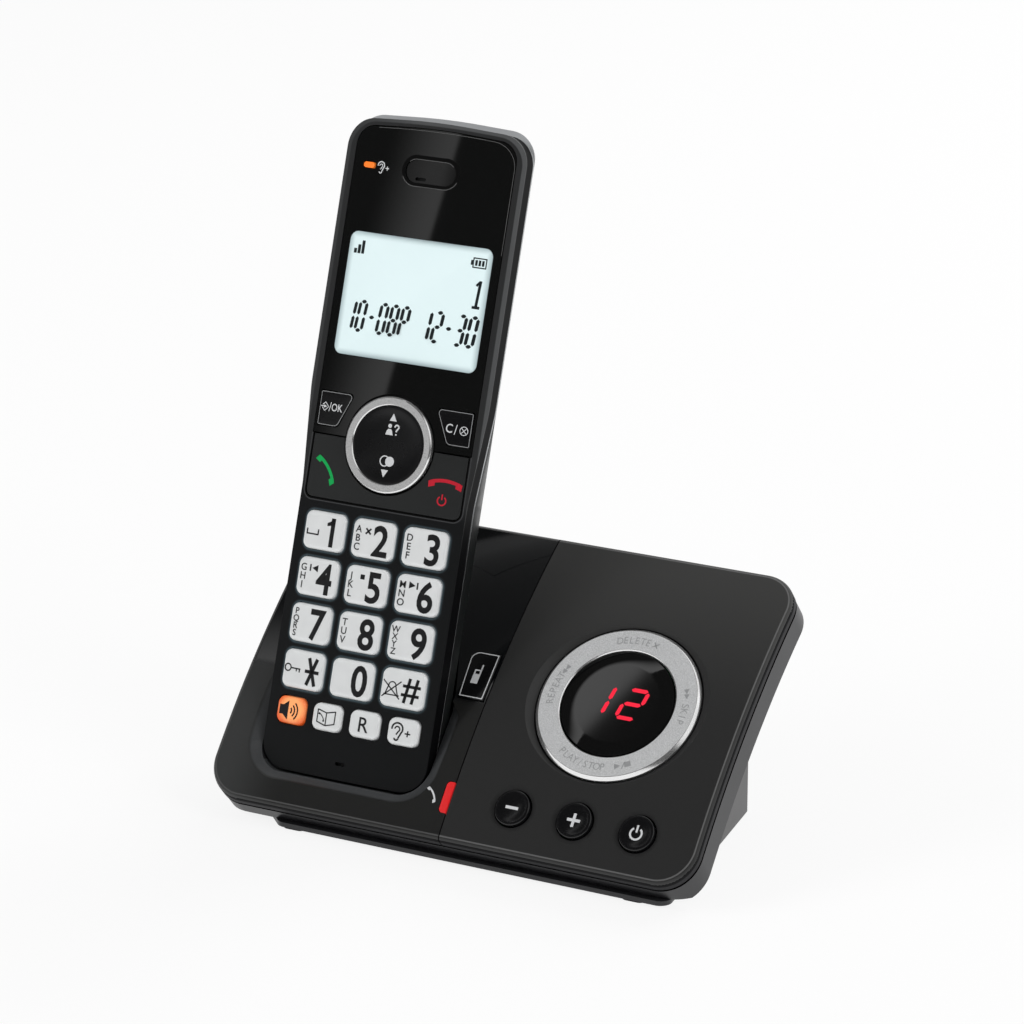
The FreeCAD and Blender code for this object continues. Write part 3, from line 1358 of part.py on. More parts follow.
def handset_back_shell():
    """Back moulding with the battery bay, the loudspeaker grille and the contact pockets."""
    wall, depth, gap = mm("handset_wall"), mm("handset_depth"), mm("fit_gap")
    split = -mm("front_shell_depth") - gap / 2
    reach = 2 * mm("handset_bottom")
    below = box((-depth * 2, depth * 2), (-reach, reach), (-2 * depth, split))
    form = handset_form(rise=mm("back_rise")).common(below)
    inner = handset_form(-wall, rise=mm("back_rise"))
    shell = form.cut(inner)
    half, (low, high) = bay_width() / 2, bay_ends()
    roof = -mm("cell_depth") + mm("cell_radius") + mm("bay_gap")
    rim = mm("bay_wall")
    tub = box((-half - rim, half + rim), (low - rim, high + rim), (-2 * depth, roof + rim))
    shell = shell.fuse(tub.common(form))
    for x, y in handset_screw_places():
        column = disc(mm("screw_column"), -2 * depth, split - gap, x, y).common(form)
        shell = shell.fuse(column)
    shell = shell.cut(box((-half, half), (low, high), (-2 * depth, roof)))
    ledge = mm("door_ledge")
    window = box((-half - ledge, half + ledge), (low - ledge, high + ledge), (-2 * depth, roof))
    shell = shell.cut(window.cut(handset_form(-wall - gap, rise=mm("back_rise"))))
    for x, y in handset_screw_places():
        seat = disc(mm("screw_head") + mm("screw_gap"), -2 * depth, screw_seat(), x, y)
        hole = disc(mm("screw_shank") + mm("screw_gap"), -2 * depth, depth, x, y)
        shell = shell.cut(seat).cut(hole)
    for step in (-1, 0, 1):
        y = mm("ringer_place") + step * mm("ringer_radius") / 2
        reach = mm("ringer_radius") * 0.6
        shell = shell.cut(box((-reach, reach), (y - 0.8, y + 0.8), (-2 * depth, -depth + 3 * wall)))
    for side in (-1, 1):
        shell = shell.cut(contact_box(side, gap / 2))
    solid("handset_back_shell", shell.removeSplitter(), handset_frame())


def screw_seat():
    """Height of the seats of the handset screws' heads."""
    return -mm("handset_depth") / 2


def contact_box(side, gap=0):
    """Contact plate at the foot of the handset, or its pocket, in the handset frame."""
    x, half = side * mm("contact_place"), mm("contact_width") / 2 + gap
    foot = -mm("handset_bottom")
    top = foot + mm("contact_thickness") + gap
    return box((x - half, x + half), (foot, top),
               (-mm("contact_depth") - half, -mm("contact_depth") + half))


def handset_faceplate():
    """Glossy black plate with openings for the lens, the earpiece, the lamp and the keys."""
    gap = mm("fit_gap")
    plate = front_band(plate_corners(), gap / 2, gap / 2 + mm("plate_thickness"))
    depth = mm("handset_depth")
    cuts = [
        rounded_prism(lens_corners(gap / 2), -depth, depth),
        rounded_prism(ear_corners(gap / 2), -depth, depth),
        rounded_prism(boost_corners(gap / 2), -depth, depth),
        disc(mm("nav_radius") + mm("nav_gap"), -depth, depth),
    ]
    cuts += [rounded_prism(soft_corners(side, gap), -depth, depth) for side in (-1, 1)]
    solid("handset_faceplate", plate.cut(Part.makeCompound(cuts)), handset_frame())


def faceplate_inserts():
    """Clear lens, earpiece grille and orange lamp in the faceplate."""
    gap, under = mm("fit_gap"), mm("fit_gap") / 2 + mm("plate_thickness")
    solid("display_lens", front_band(lens_corners(), gap / 2, under), handset_frame())
    cap = front_band(ear_corners(), 2 * gap, under)
    slot = rectangle(mm("ear_slot_width"), mm("ear_slot_height"), 0.49 * mm("ear_slot_height"),
                     -mm("ear_slot_shift"), mm("ear_center") - mm("ear_slot_drop"))
    slot = rounded_prism(slot, -2 * under, under)
    solid("earpiece_cap", cap.cut(slot), handset_frame())
    lamp = front_band(boost_corners(), 0, under + mm("handset_wall"))
    solid("boost_lamp", lamp, handset_frame())


def lcd_panel():
    """Display glass under the front shell, on the board."""
    level = -mm("inner_board_depth") + mm("screw_gap")
    slab_body("lcd_panel", centered("Sizes.lens_width - 2", "Sizes.lens_height + 2"),
              "Sizes.lcd_thickness", "", in_handset(0, mm("lens_center"), level))


# ---------------------------------------------------------------- handset: keys


def navigation_key():
    """Dished round key and the silver ring around it, which rock together."""
    top, under = "Sizes.nav_proud", "-Sizes.plate_thickness + Sizes.rock_gap / 2"
    ring = (
        ("Sizes.nav_bore", under),
        ("Sizes.nav_radius", under),
        ("Sizes.nav_radius", f"{top} - Sizes.nav_gap / 2"),
        ("Sizes.nav_radius - Sizes.nav_gap / 2", top),
        ("Sizes.nav_bore", top),
    )
    turned_body("nav_ring", ring, in_handset(0, 0, 0))
    shoulder = "-Sizes.call_thickness - 2 * Sizes.rock_gap - Sizes.plate_thickness"
    foot = f"{shoulder} - Sizes.key_flange"
    rim = "(Sizes.nav_bore - Sizes.screw_gap)"
    disc_profile = (
        ("0", foot),
        ("Sizes.nav_flange", foot),
        ("Sizes.nav_flange", shoulder),
        (rim, shoulder),
        (rim, f"{top} - Sizes.fit_gap"),
        (f"{rim} * 0.6", "-Sizes.fit_gap"),
        ("0", "-2 * Sizes.fit_gap"),
    )
    turned_body("nav_key", disc_profile, in_handset(0, 0, 0))


def soft_keys():
    """Two five-sided keys beside the round one."""
    foot = mm("mat_depth") - mm("key_travel") - 2 * mm("fit_gap")
    for label, side in (("soft_key_left", -1), ("soft_key_right", 1)):
        outline = rounded_prism(soft_corners(side), -foot, mm("handset_depth"))
        solid(label, outline.common(front_layer(-mm("fit_gap") / 2)), handset_frame())


def call_key_plate():
    """Wide key under the round one; its left side calls and its right side ends the call."""
    gap = mm("fit_gap")
    plate = front_band(call_corners(), gap / 2, mm("call_thickness"))
    for side in (-1, 1):
        x, y = side * mm("plunger_place"), -mm("call_bottom") / 2
        foot = -mm("mat_depth") + 2 * gap
        stem = box((x - 2, x + 2), (y - 2, y + 2), (foot, 0)).common(front_layer(gap))
        plate = plate.fuse(stem)
    depth = mm("handset_depth")
    plate = plate.cut(disc(mm("nav_radius") + mm("nav_gap"), -depth, depth))
    solid("call_key_plate", plate.removeSplitter(), handset_frame())


def push_key(label, width, height, place):
    """Key cap with rounded corners on a wider flange that the front shell holds back."""
    body = new_body(label)
    base = new_sketch(body, "XY_Plane")
    margin = "2 * Sizes.key_flange"
    draw_outline(base, centered(f"{width} + {margin}", f"{height} + {margin}"))
    pad(body, base, "Sizes.flange_thickness")
    top = new_sketch(body, "XY_Plane")
    draw_outline(top, centered(width, height))
    stack = "Sizes.flange_thickness + Sizes.fit_gap + Sizes.handset_wall + Sizes.key_proud"
    cap = pad(body, top, stack)
    inside = number(f"({width}) / 2") + mm("key_flange") / 2

    def is_cap_side(edge):
        return is_upright(edge) and abs(edge.BoundBox.XMax) < inside

    rounded = round_edges(body, cap, "Sizes.key_corner", is_cap_side)
    round_edges(body, rounded, "Sizes.key_crown", is_at(number(stack)))
    body.Placement = place


def keypad():
    """Twelve number keys and four function keys on the curved front."""
    below = mm("flange_thickness") + mm("fit_gap") + mm("handset_wall")
    for label, x, y in key_places():
        push_key(label, "Sizes.key_width", "Sizes.key_height", on_front(x, y, below))
    for label, x, y in small_places():
        push_key(label, "Sizes.small_width", "Sizes.small_height", on_front(x, y, below))


def keypad_mat():
    """Silicone mat with a dome under every key."""
    level, thick = -mm("mat_depth"), mm("mat_thickness")
    width, half_foot = mm("mat_width"), mm("mic_place") - 2 * mm("mic_radius")
    top = mm("soft_top") + 2 * mm("fit_gap")
    outline = ((-width / 2, -half_foot, 2), (width / 2, -half_foot, 2),
               (width / 2, top, 2), (-width / 2, top, 2))
    mat = rounded_prism(outline, level - thick, level)
    below = mm("flange_thickness") + mm("fit_gap") + mm("handset_wall")
    flange = mm("key_width") / 2 + mm("key_flange")
    for _, x, y in key_places() + small_places():
        slope = abs(x) / mm("front_curve")
        room = below + front_sag(x) + mm("key_travel") + slope * flange + mm("screw_gap")
        mat = mat.fuse(disc(mm("dome_radius"), level - thick / 2, -room, x, y))
    middle = -mm("mat_depth") + mm("fit_gap")
    mat = mat.fuse(disc(mm("dome_radius"), level - thick / 2, middle, 0, 0))
    solid("keypad_mat", mat, handset_frame())


# ---------------------------------------------------------------- handset: inside


def handset_circuit_board():
    low = "-(Sizes.mic_place - 2 * Sizes.mic_radius)"
    corners = (
        ("-Sizes.mat_width / 2", low),
        ("Sizes.mat_width / 2", low),
        ("Sizes.mat_width / 2", "Sizes.inner_board_top"),
        ("-Sizes.mat_width / 2", "Sizes.inner_board_top"),
    )
    level = -mm("inner_board_depth") - mm("inner_board_thickness")
    slab_body("handset_circuit_board", corners, "Sizes.inner_board_thickness", "Sizes.key_corner",
              in_handset(0, 0, level))


def sound_pieces():
    """Receiver behind the earpiece, loudspeaker behind the back grille and microphone."""
    under = mm("plate_thickness") + mm("fit_gap") + mm("handset_wall") + mm("screw_gap")
    turned_body("earpiece_receiver",
                drum_profile("Sizes.receiver_radius", "0", "Sizes.receiver_height"),
                in_handset(0, mm("ear_center"),
                           -under - front_sag(mm("receiver_radius")) - mm("receiver_height")))
    inner = mm("handset_wall") + handset_back_drop(mm("ringer_radius")) + mm("fit_gap")
    turned_body("handset_loudspeaker",
                drum_profile("Sizes.ringer_radius", "0", "Sizes.ringer_height"),
                in_handset(0, mm("ringer_place"), -mm("handset_depth") + inner))
    turned_body("handset_microphone", drum_profile("Sizes.mic_radius", "0", "Sizes.mat_thickness * 2"),
                in_handset(0, -mm("mic_place") + mm("mic_radius") / 2,
                           -mm("handset_wall") - mm("screw_gap") - 2 * mm("mat_thickness")))


def handset_back_drop(x):
    """How far the back rises from its deepest line at a distance from the middle."""
    half, depth = mm("handset_width") / 2, mm("handset_depth")
    shoulder = depth - mm("front_shell_depth") - depth * 0.54
    reach = half * 0.65
    radius = (reach ** 2 + shoulder ** 2) / (2 * shoulder)
    return radius - math.sqrt(radius ** 2 - x ** 2)


def battery_cells():
    """Two cylindrical cells side by side in the bay."""
    low = bay_ends()[0] + mm("bay_gap")
    spread = mm("cell_radius") + mm("bay_gap") / 2
    cells = []
    for side in (-1, 1):
        start = FreeCAD.Vector(side * spread, low, -mm("cell_depth"))
        along = FreeCAD.Vector(0, 1, 0)
        cell = Part.makeCylinder(mm("cell_radius"), mm("cell_length") - 1, start, along)
        knob = Part.makeCylinder(mm("cell_radius") * 0.4, mm("cell_length"), start, along)
        cells.append(cell.fuse(knob))
    solid("battery_cells", Part.makeCompound(cells), handset_frame())


def battery_door():
    """Cover of the battery bay, a piece of the back's own curve."""
    wall, gap, rise = mm("handset_wall"), mm("fit_gap"), mm("back_rise")
    half, (low, high) = bay_width() / 2 + mm("door_ledge") - gap, bay_ends()
    ledge = mm("door_ledge") - gap
    area = box((-half, half), (low - ledge, high + ledge),
               (-2 * mm("handset_depth"), -mm("cell_depth")))
    door = handset_form(rise=rise).common(area).cut(handset_form(-wall, rise=rise))
    solid("battery_door", door, handset_frame())


def handset_charge_contacts():
    plates = [contact_box(side) for side in (-1, 1)]
    solid("handset_charge_contacts", Part.makeCompound(plates), handset_frame())


def handset_screws():
    """Two screws from the back into the front shell's bosses."""
    screws = []
    under = mm("plate_thickness") + mm("fit_gap") + mm("handset_wall") + front_sag(mm("plate_width") / 2)
    for x, y in handset_screw_places():
        seat = screw_seat() - mm("screw_gap")
        head = disc(mm("screw_head"), seat - mm("screw_shank"), seat, x, y)
        shank = disc(mm("screw_shank"), seat, -under - mm("fit_gap"), x, y)
        screws.append(head.fuse(shank))
    solid("handset_screws", Part.makeCompound(screws), handset_frame())


# ---------------------------------------------------------------- build, check and write


def build():
    cradle_cover()
    answering_panel()
    base_lower_housing()
    dial_ring()
    dial_key_carrier()
    display_window()
    message_display()
    round_keys()
    find_handset_key()
    in_use_lamp()
    base_circuit_board()
    base_tact_switches()
    base_loudspeaker()
    sockets()
    charge_contacts()
    base_screws()
    rubber_feet()
    handset_front_shell()
    handset_back_shell()
    handset_faceplate()
    faceplate_inserts()
    lcd_panel()
    navigation_key()
    soft_keys()
    call_key_plate()
    keypad()
    keypad_mat()
    handset_circuit_board()
    sound_pieces()
    battery_cells()
    battery_door()
    handset_charge_contacts()
    handset_screws()


def check():
    """Stop if an object failed or a sub-part is empty or not valid."""
    document.recompute()
    for item in document.Objects:
        if {"Invalid", "Error"} & set(item.State):
            raise RuntimeError(f"{item.Label} failed: {item.State}")
    empty = [part.Label for part in parts if part.Shape.isNull() or not part.Shape.isValid()
             or not part.Shape.Solids]
    if empty:
        raise RuntimeError(f"no valid solid: {empty}")


def write():
    """One STEP file per sub-part."""
    os.makedirs("parts", exist_ok=True)
    for part in parts:
        part.Shape.exportStep(f"parts/{part.Label}.step")
        print(f"{part.Label}: {len(part.Shape.Solids)} solid(s), {part.Shape.Volume:.1f} mm3")


build()
check()
write()
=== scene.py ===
"""Cordless telephone in its charging base with an answering machine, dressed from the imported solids.

Everything is in metres, in the same frame as the solids. Two more frames are used throughout: the
panel frame (x right, y up the slope, z out of the panel) and the handset frame (x right, y along
the handset, z out of its front), both read from the joints.
"""
import json
import math

import bmesh
import bpy
import numpy as np
from mathutils import Matrix, Vector

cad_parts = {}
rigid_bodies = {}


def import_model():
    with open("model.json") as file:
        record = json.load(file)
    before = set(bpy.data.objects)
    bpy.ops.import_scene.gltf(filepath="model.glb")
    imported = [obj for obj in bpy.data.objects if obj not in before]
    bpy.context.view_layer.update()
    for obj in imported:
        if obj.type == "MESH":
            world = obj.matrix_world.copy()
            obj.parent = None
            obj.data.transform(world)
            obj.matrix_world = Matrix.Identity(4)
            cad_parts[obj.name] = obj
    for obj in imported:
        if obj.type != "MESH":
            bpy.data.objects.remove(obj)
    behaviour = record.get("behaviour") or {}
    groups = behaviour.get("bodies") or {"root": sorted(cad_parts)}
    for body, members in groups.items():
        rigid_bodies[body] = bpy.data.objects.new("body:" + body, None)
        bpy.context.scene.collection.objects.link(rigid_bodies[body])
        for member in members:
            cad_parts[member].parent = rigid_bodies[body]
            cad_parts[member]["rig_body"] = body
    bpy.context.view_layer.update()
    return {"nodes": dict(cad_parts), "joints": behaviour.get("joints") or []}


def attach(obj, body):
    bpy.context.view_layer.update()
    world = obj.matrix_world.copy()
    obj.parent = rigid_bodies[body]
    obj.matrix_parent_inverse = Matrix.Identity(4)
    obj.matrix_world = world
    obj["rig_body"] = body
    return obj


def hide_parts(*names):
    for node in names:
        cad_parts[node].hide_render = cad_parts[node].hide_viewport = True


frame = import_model()
bpy.context.scene.view_settings.view_transform = "Standard"
MM = 0.001


# ------------ cradle cover
# The left cover of the base: black ABS moulded in one piece with the deep well for the handset.
# Its rear half is polished, its front half satin, and a sloping lip runs round the well's mouth.

joints = {joint["name"]: joint for joint in frame["joints"]}


def frame_at(origin, x_axis, y_axis):
    """4x4 matrix of a frame with the given origin and axes; z is their cross product."""
    matrix = np.eye(4)
    for column, axis in enumerate((x_axis, y_axis)):
        matrix[:3, column] = np.array(axis, float) / np.linalg.norm(axis)
    matrix[:3, 2] = np.cross(matrix[:3, 0], matrix[:3, 1])
    matrix[:3, 3] = origin
    return matrix


def shifted(matrix, x=0.0, y=0.0, z=0.0):
    """A frame moved along its own axes, in millimetres."""
    moved = matrix.copy()
    moved[:3, 3] += matrix[:3, :3] @ (np.array([x, y, z]) * MM)
    return moved


def leaned(matrix, degrees, axis):
    """A frame turned about one of its own axes: 0 is x, 1 is y and 2 is z."""
    turn = np.eye(4)
    turn[:3, :3] = np.array(Matrix.Rotation(math.radians(degrees), 3, "XYZ"[axis]))
    return matrix @ turn


# The ring's middle and how far its face lies under the panel, and the radii of the panel's and
# the handset's curved faces.
RING_X, RING_SUNK = 33.5, 0.4
PANEL_CURVE, FRONT_CURVE = 243.0, 174.0
rocker = joints["ring_rock_up_down"]
panel = frame_at(rocker["pos_m"], rocker["axis"], joints["ring_rock_left_right"]["axis"])
panel = shifted(panel, -RING_X, 0, RING_SUNK)
handset = frame_at(joints["navigation_rock"]["pos_m"], joints["navigation_rock"]["axis"],
    joints["handset_lift"]["axis"])


def linked(name, data):
    """New object in the scene."""
    item = bpy.data.objects.new(name, data)
    bpy.context.scene.collection.objects.link(item)
    return item


class Wire:
    """A socket in a material's node tree; arithmetic on it adds Math nodes."""

    def __init__(self, finish, socket):
        self.finish = finish
        self.socket = socket

    def math(self, operation, *others):
        """Math node on this wire and up to two more values."""
        return self.finish.add("Math", {"operation": operation}, self, *others)

    __add__ = __radd__ = lambda self, other: self.math("ADD", other)
    __mul__ = __rmul__ = lambda self, other: self.math("MULTIPLY", other)
    __sub__ = lambda self, other: self.math("SUBTRACT", other)
    __rsub__ = lambda self, other: self * -1.0 + other
    __truediv__ = lambda self, other: self.math("DIVIDE", other)

    def hypot(self, other):
        """Length of two coordinates taken together."""
        return (self * self + other * other).math("SQRT")

    def step(self, low, high):
        """0 below low, 1 above high, smooth in between."""
        return self.finish.add("MapRange", {"interpolation_type": "SMOOTHSTEP"}, self, low, high)

    def mix(self, first, second):
        """Blend of two colours: the first where it is 0, the second where it is 1."""
        node = self.finish.tree.nodes.new("ShaderNodeMix")
        node.data_type = "RGBA"
        for place, value in ((0, self), (6, first), (7, second)):
            self.finish.feed(node.inputs[place], value)
        return Wire(self.finish, node.outputs[2])


class Finish:
    """A material built node by node round one Principled shader."""

    def __init__(self, name, color, roughness, **constants):
        self.color, self.roughness = color, roughness
        self.material = bpy.data.materials.new(name)
        self.material.use_nodes = True
        self.tree = self.material.node_tree
        self.shader = self.tree.nodes["Principled BSDF"]
        self.set(Base_Color=color, Roughness=roughness, **constants)

    def set(self, **values):
        """Feed the shader's sockets, named with underscores for blanks."""
        for name, value in values.items():
            self.feed(self.shader.inputs[name.replace("_", " ")], value)
        return self

    def feed(self, socket, value):
        """Link a wire to a socket or set its value; one number serves as a grey."""
        if isinstance(value, Wire):
            self.tree.links.new(value.socket, socket)
        elif hasattr(socket.default_value, "__len__"):
            color = value if hasattr(value, "__len__") else (value,) * 3
            socket.default_value = (*color, 1.0)[:len(socket.default_value)]
        else:
            socket.default_value = value

    def add(self, kind, settings, *values, output=0, **named):
        """Any shader node: its kind and settings first, then what goes into its sockets."""
        node = self.tree.nodes.new("ShaderNode" + kind)
        for name, value in settings.items():
            setattr(node, name, value)
        for place, value in [*enumerate(values), *named.items()]:
            self.feed(node.inputs[place], value)
        return Wire(self, node.outputs[output])

    def place(self):
        """Object coordinates of the surface point, in metres."""
        return self.add("TexCoord", {}, output=3)

    def ray(self, kind):
        """1 for rays of one kind, such as camera rays, and 0 for others."""
        return self.add("LightPath", {}, output=f"Is {kind} Ray")

    def toward(self, vector, direction):
        """Length of a vector along a direction."""
        settings = {"operation": "DOT_PRODUCT"}
        return self.add("VectorMath", settings, vector, tuple(direction), output=1)

    def along(self, matrix, axis):
        """Coordinate of the surface point along one axis of a frame, in millimetres."""
        direction = matrix[:3, axis]
        return (self.toward(self.place(), direction) - float(direction @ matrix[:3, 3])) / MM

    def outside(self, x, y, half_width, half_height, corner):
        """Distance outside a rounded box, in millimetres, negative inside."""
        x = (x.math("ABSOLUTE") - (half_width - corner)).math("MAXIMUM", 0.0)
        y = (y.math("ABSOLUTE") - (half_height - corner)).math("MAXIMUM", 0.0)
        return x.hypot(y) - corner

    def height(self, matrix, radius, axis):
        """Height over a cylinder about x (0) or y (1) whose top lies at a frame's origin."""
        return self.along(matrix, 1 - axis).hypot(self.along(matrix, 2) + radius) - radius

    def from_axis(self, matrix):
        """Distance from a frame's z, in millimetres."""
        return self.along(matrix, 0).hypot(self.along(matrix, 1))

    def noise(self, size, detail=2.0):
        """Noise around 0.5 whose grains are about size millimetres across."""
        return self.add("TexNoise", {}, Vector=self.place(), Scale=1 / (size * MM), Detail=detail)

    def bump(self, pattern, height, strength=1.0):
        """Bumps that rise by height millimetres where the pattern goes from 0 to 1."""
        height = height * MM
        return self.set(Normal=self.add("Bump", {}, Height=pattern, Strength=strength, Distance=height))

    def grain(self, size, height, strength=1.0):
        """Fine bumps, size millimetres across."""
        return self.bump(self.noise(size, 3.0), height, strength)

    def blended(self, factor, other):
        """Mix the Principled shader with another shader and lead the result to the surface."""
        mixed = self.add("MixShader", {}, factor, Wire(self, self.shader.outputs[0]), other)
        self.feed(self.tree.nodes["Material Output"].inputs["Surface"], mixed)

    def paint_shade(self, factor):
        """Painted shade: unlit black where the factor is 1, as in a narrow gap."""
        self.blended(factor, self.add("BsdfDiffuse", {}, 0.0))

    def worn(self, size, amount):
        """Faint cloudy change of its shade and gloss."""
        cloud = self.noise(size, 4.0) - 0.5
        shade = cloud * amount + 1.0
        tint = self.add("VectorMath", {"operation": "SCALE"}, self.color, Scale=shade)
        return self.set(Base_Color=tint, Roughness=cloud * amount + self.roughness)

    def uneven(self, size, detail, amount, least):
        """Cloudy change of its gloss alone."""
        return self.set(Roughness=self.noise(size, detail) * amount + least)

    def glowing(self, size, first, second):
        """Light of its own that wanders between two colours."""
        return self.set(Emission_Color=self.noise(size).mix(first, second))


def read(items, name, width, kind=float):
    """One attribute of all items of a mesh, width numbers to a row."""
    values = np.empty(len(items) * width, kind)
    items.foreach_get(name, values)
    return values.reshape(-1, width)


def smooth_corners(mesh, limit, curved):
    """Corner normals: area-weighted mean of the faces round the vertex within a limit angle.

    Where a face lies on the known curved surface, its exact normal is used instead."""
    corners = read(mesh.loops, "vertex_index", 1, np.int64)[:, 0]
    points = read(mesh.vertices, "co", 3)
    triangles = corners.reshape(-1, 3)
    first, second, third = (points[triangles[:, place]] for place in range(3))
    cross = np.cross(second - first, third - first)
    area = np.linalg.norm(cross, axis=1)
    flat = cross / np.maximum(area, 1e-20)[:, None]
    face = np.repeat(np.arange(len(triangles)), 3)
    normal = flat[face].copy()
    on_curve = np.zeros(len(triangles), bool)
    if curved is not None:
        exact, gap = curved(points)
        on_curve = (np.abs(gap[triangles]).max(1) < 4e-6)
        on_curve &= np.einsum("ij,ij->i", exact[triangles[:, 0]], flat) > 0.97
        chosen = on_curve[face]
        normal[chosen] = exact[corners[chosen]]
    weight = normal * area[face][:, None]
    order = np.argsort(corners, kind="stable")
    vertex, sorted_flat, sorted_weight = corners[order], flat[face[order]], weight[order]
    total = sorted_weight.copy()
    cosine = math.cos(math.radians(limit))
    for shift in range(1, int(np.bincount(corners).max())):
        same = vertex[shift:] == vertex[:-shift]
        near = same & (np.einsum("ij,ij->i", sorted_flat[shift:], sorted_flat[:-shift]) > cosine)
        total[shift:][near] += sorted_weight[:-shift][near]
        total[:-shift][near] += sorted_weight[shift:][near]
    result = np.empty_like(total)
    result[order] = total
    result[on_curve[face]] = normal[on_curve[face]]
    length = np.linalg.norm(result, axis=1)
    result /= np.maximum(length, 1e-20)[:, None]
    mesh.polygons.foreach_set("use_smooth", np.ones(len(mesh.polygons), bool))
    mesh.normals_split_custom_set(result.tolist())


def barrel(matrix, radius, axis, depth=0.0):
    """Exact normals and distances for a curved face: a cylinder about x (0) or y (1) of a frame,
    whose top lies at the frame's origin, and from there a depth further in."""
    def measure(points):
        local = (points - matrix[:3, 3]) @ matrix[:3, :3]
        local[:, 2] += radius * MM
        local[:, axis] = 0
        length = np.linalg.norm(local, axis=1)
        exact = (local / np.maximum(length, 1e-12)[:, None]) @ matrix[:3, :3].T
        return exact, length - (radius - depth) * MM
    return measure


panel_face = barrel(panel, PANEL_CURVE, 0)
front_face = barrel(handset, FRONT_CURVE, 1)


# Edges stay sharp above these angles in degrees: on mouldings, and on caps and rings.
SOFT_ANGLE, CAP_ANGLE = 32, 38


def coat(mesh, finish):
    """Give a mesh one finish in place of what it had."""
    mesh.materials.clear()
    mesh.materials.append(finish.material)


def moulding(node, name, finish, curved=None, side=None):
    """Smoothly shaded copy of a solid, with its corners shared and its flat faces kept flat.

    side is the finish of its faces that stand upright on the panel."""
    source = frame["nodes"][node]
    mesh = source.data.copy()
    work = bmesh.new()
    work.from_mesh(mesh)
    bmesh.ops.remove_doubles(work, verts=work.verts, dist=2e-6)
    bmesh.ops.dissolve_degenerate(work, edges=work.edges, dist=1e-7)
    bmesh.ops.triangulate(work, faces=work.faces)
    work.to_mesh(mesh)
    work.free()
    coat(mesh, finish)
    if side:
        mesh.materials.append(side.material)
        upright = np.abs(read(mesh.polygons, "normal", 3) @ panel[:3, 2]) < 0.35
        mesh.polygons.foreach_set("material_index", upright.astype(np.int32))
    smooth_corners(mesh, SOFT_ANGLE, curved)
    piece = linked(name, mesh)
    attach(piece, source["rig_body"])
    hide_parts(node)


# The covers' common outline: its middle up the slope, half width, half height and corner.
COVERS_Y, COVERS_SIZE = 0.2, (67.0, 43.4, 9.8)


def past_edge(finish):
    """Distance outside the covers' common outline, in millimetres, negative inside."""
    return finish.outside(finish.along(panel, 0), finish.along(panel, 1) - COVERS_Y, *COVERS_SIZE)


# The covers' side walls are duller, with painted shade: a dark line under the rounding and another at the
# seam. The walls of the well are painted in shade only half as dark below that seam.
side_black = Finish("side_black", (0.020, 0.020, 0.022), 0.5, Specular_IOR_Level=0.12)
depth = side_black.height(panel, PANEL_CURVE, 0)
side_black.worn(10.0, 0.1)
painted_seam_shade = (1.0 - depth.step(-3.3, -2.9)) * (past_edge(side_black).step(-3.0, -2.5) * 0.5 + 0.5)
side_black.paint_shade(painted_seam_shade.math("MAXIMUM", depth.step(-1.9, -1.6) * 0.6))


def edge_highlight_line(finish, tone, highlight_tone):
    """A tone with a painted highlight: the paler line that follows the covers' outer edge before its
    rounding.
    """
    outer = past_edge(finish)
    line = outer.step(-1.2, -1.05) * (1.0 - outer.step(-0.85, -0.7))
    return line.mix(tone, highlight_tone)


cradle_black = Finish("cradle_black", 0.014, 0.4)
polish = cradle_black.along(panel, 1).step(-8.5, -5.5)
left = 1.0 - cradle_black.along(panel, 0).step(-64.0, -45.0)
depth = cradle_black.height(panel, PANEL_CURVE, 0)
# Painted sheen: the sloping lip round the well's mouth is painted paler, as its slope catches the light.
painted_lip_sheen = (1.0 - depth.step(-0.5, -0.1)) * cradle_black.along(panel, 1).step(-40.5, -40.0)
satin = left.mix((0.012, 0.012, 0.0115), (0.034, 0.035, 0.035))
satin = painted_lip_sheen.mix(satin, (0.044, 0.046, 0.048))
satin = polish.mix(satin, (0.002, 0.0025, 0.003))
cradle_black.set(Base_Color=edge_highlight_line(cradle_black, satin, 0.07), Roughness=0.38 - polish * 0.31,
    Coat_Weight=polish * 0.3)
cradle_black.grain(0.25, 0.002, 0.4)
moulding("cradle_cover", "cradle_cover_shell", cradle_black, panel_face, side=side_black)


# ------------ answering panel
# The right cover: fine matt black, with a sunk bevel round the rocker ring and three shallow
# dishes for the round keys.

panel_black = Finish("panel_black", 0.019, 0.48)
cloud = panel_black.noise(18.0, 4.0) * 0.08 + 0.44
tone = cloud.mix(0.017, 0.022)
# Painted sheen: the panel is painted paler up the slope, towards its back edge.
far = panel_black.along(panel, 1).step(-5.0, 44.0)
tone = far.mix(tone, (0.036, 0.036, 0.035))
panel_black.set(Base_Color=edge_highlight_line(panel_black, tone, 0.11), Roughness=cloud)
panel_black.grain(0.3, 0.008, 0.6)
moulding("answering_panel", "answering_panel_shell", panel_black, panel_face, side=side_black)


# ------------ lower housing and feet
# Lower moulding of the base: the slab's side wall and the pedestal under it, satin black, on four
# soft rubber pads.

housing_black = Finish("housing_black", (0.017, 0.017, 0.019), 0.4)
# Painted light: the pedestal, low down, is painted paler than the slab's side wall, as lit from the side.
foot = 1.0 - housing_black.height(panel, PANEL_CURVE, 0).step(-16.0, -12.5)
shade = foot.mix((0.017, 0.017, 0.019), (0.038, 0.037, 0.038))
housing_black.set(Base_Color=shade, Roughness=housing_black.noise(20.0) * 0.1 + 0.35)
housing_black.grain(0.35, 0.01, 0.6)
moulding("base_lower_housing", "base_housing_shell", housing_black,
    barrel(panel, PANEL_CURVE, 0, 11.0))

rubber_black = Finish("rubber_black", 0.012, 0.8).worn(2.0, 0.3).grain(0.4, 0.03, 0.8)
moulding("rubber_feet", "foot_pads", rubber_black)


# ------------ rocker ring
# Silver-painted ring with a satin face and a chromed bevel on its outer and inner edges. It is
# pressed at its four sides, and each side carries its word and its sign.

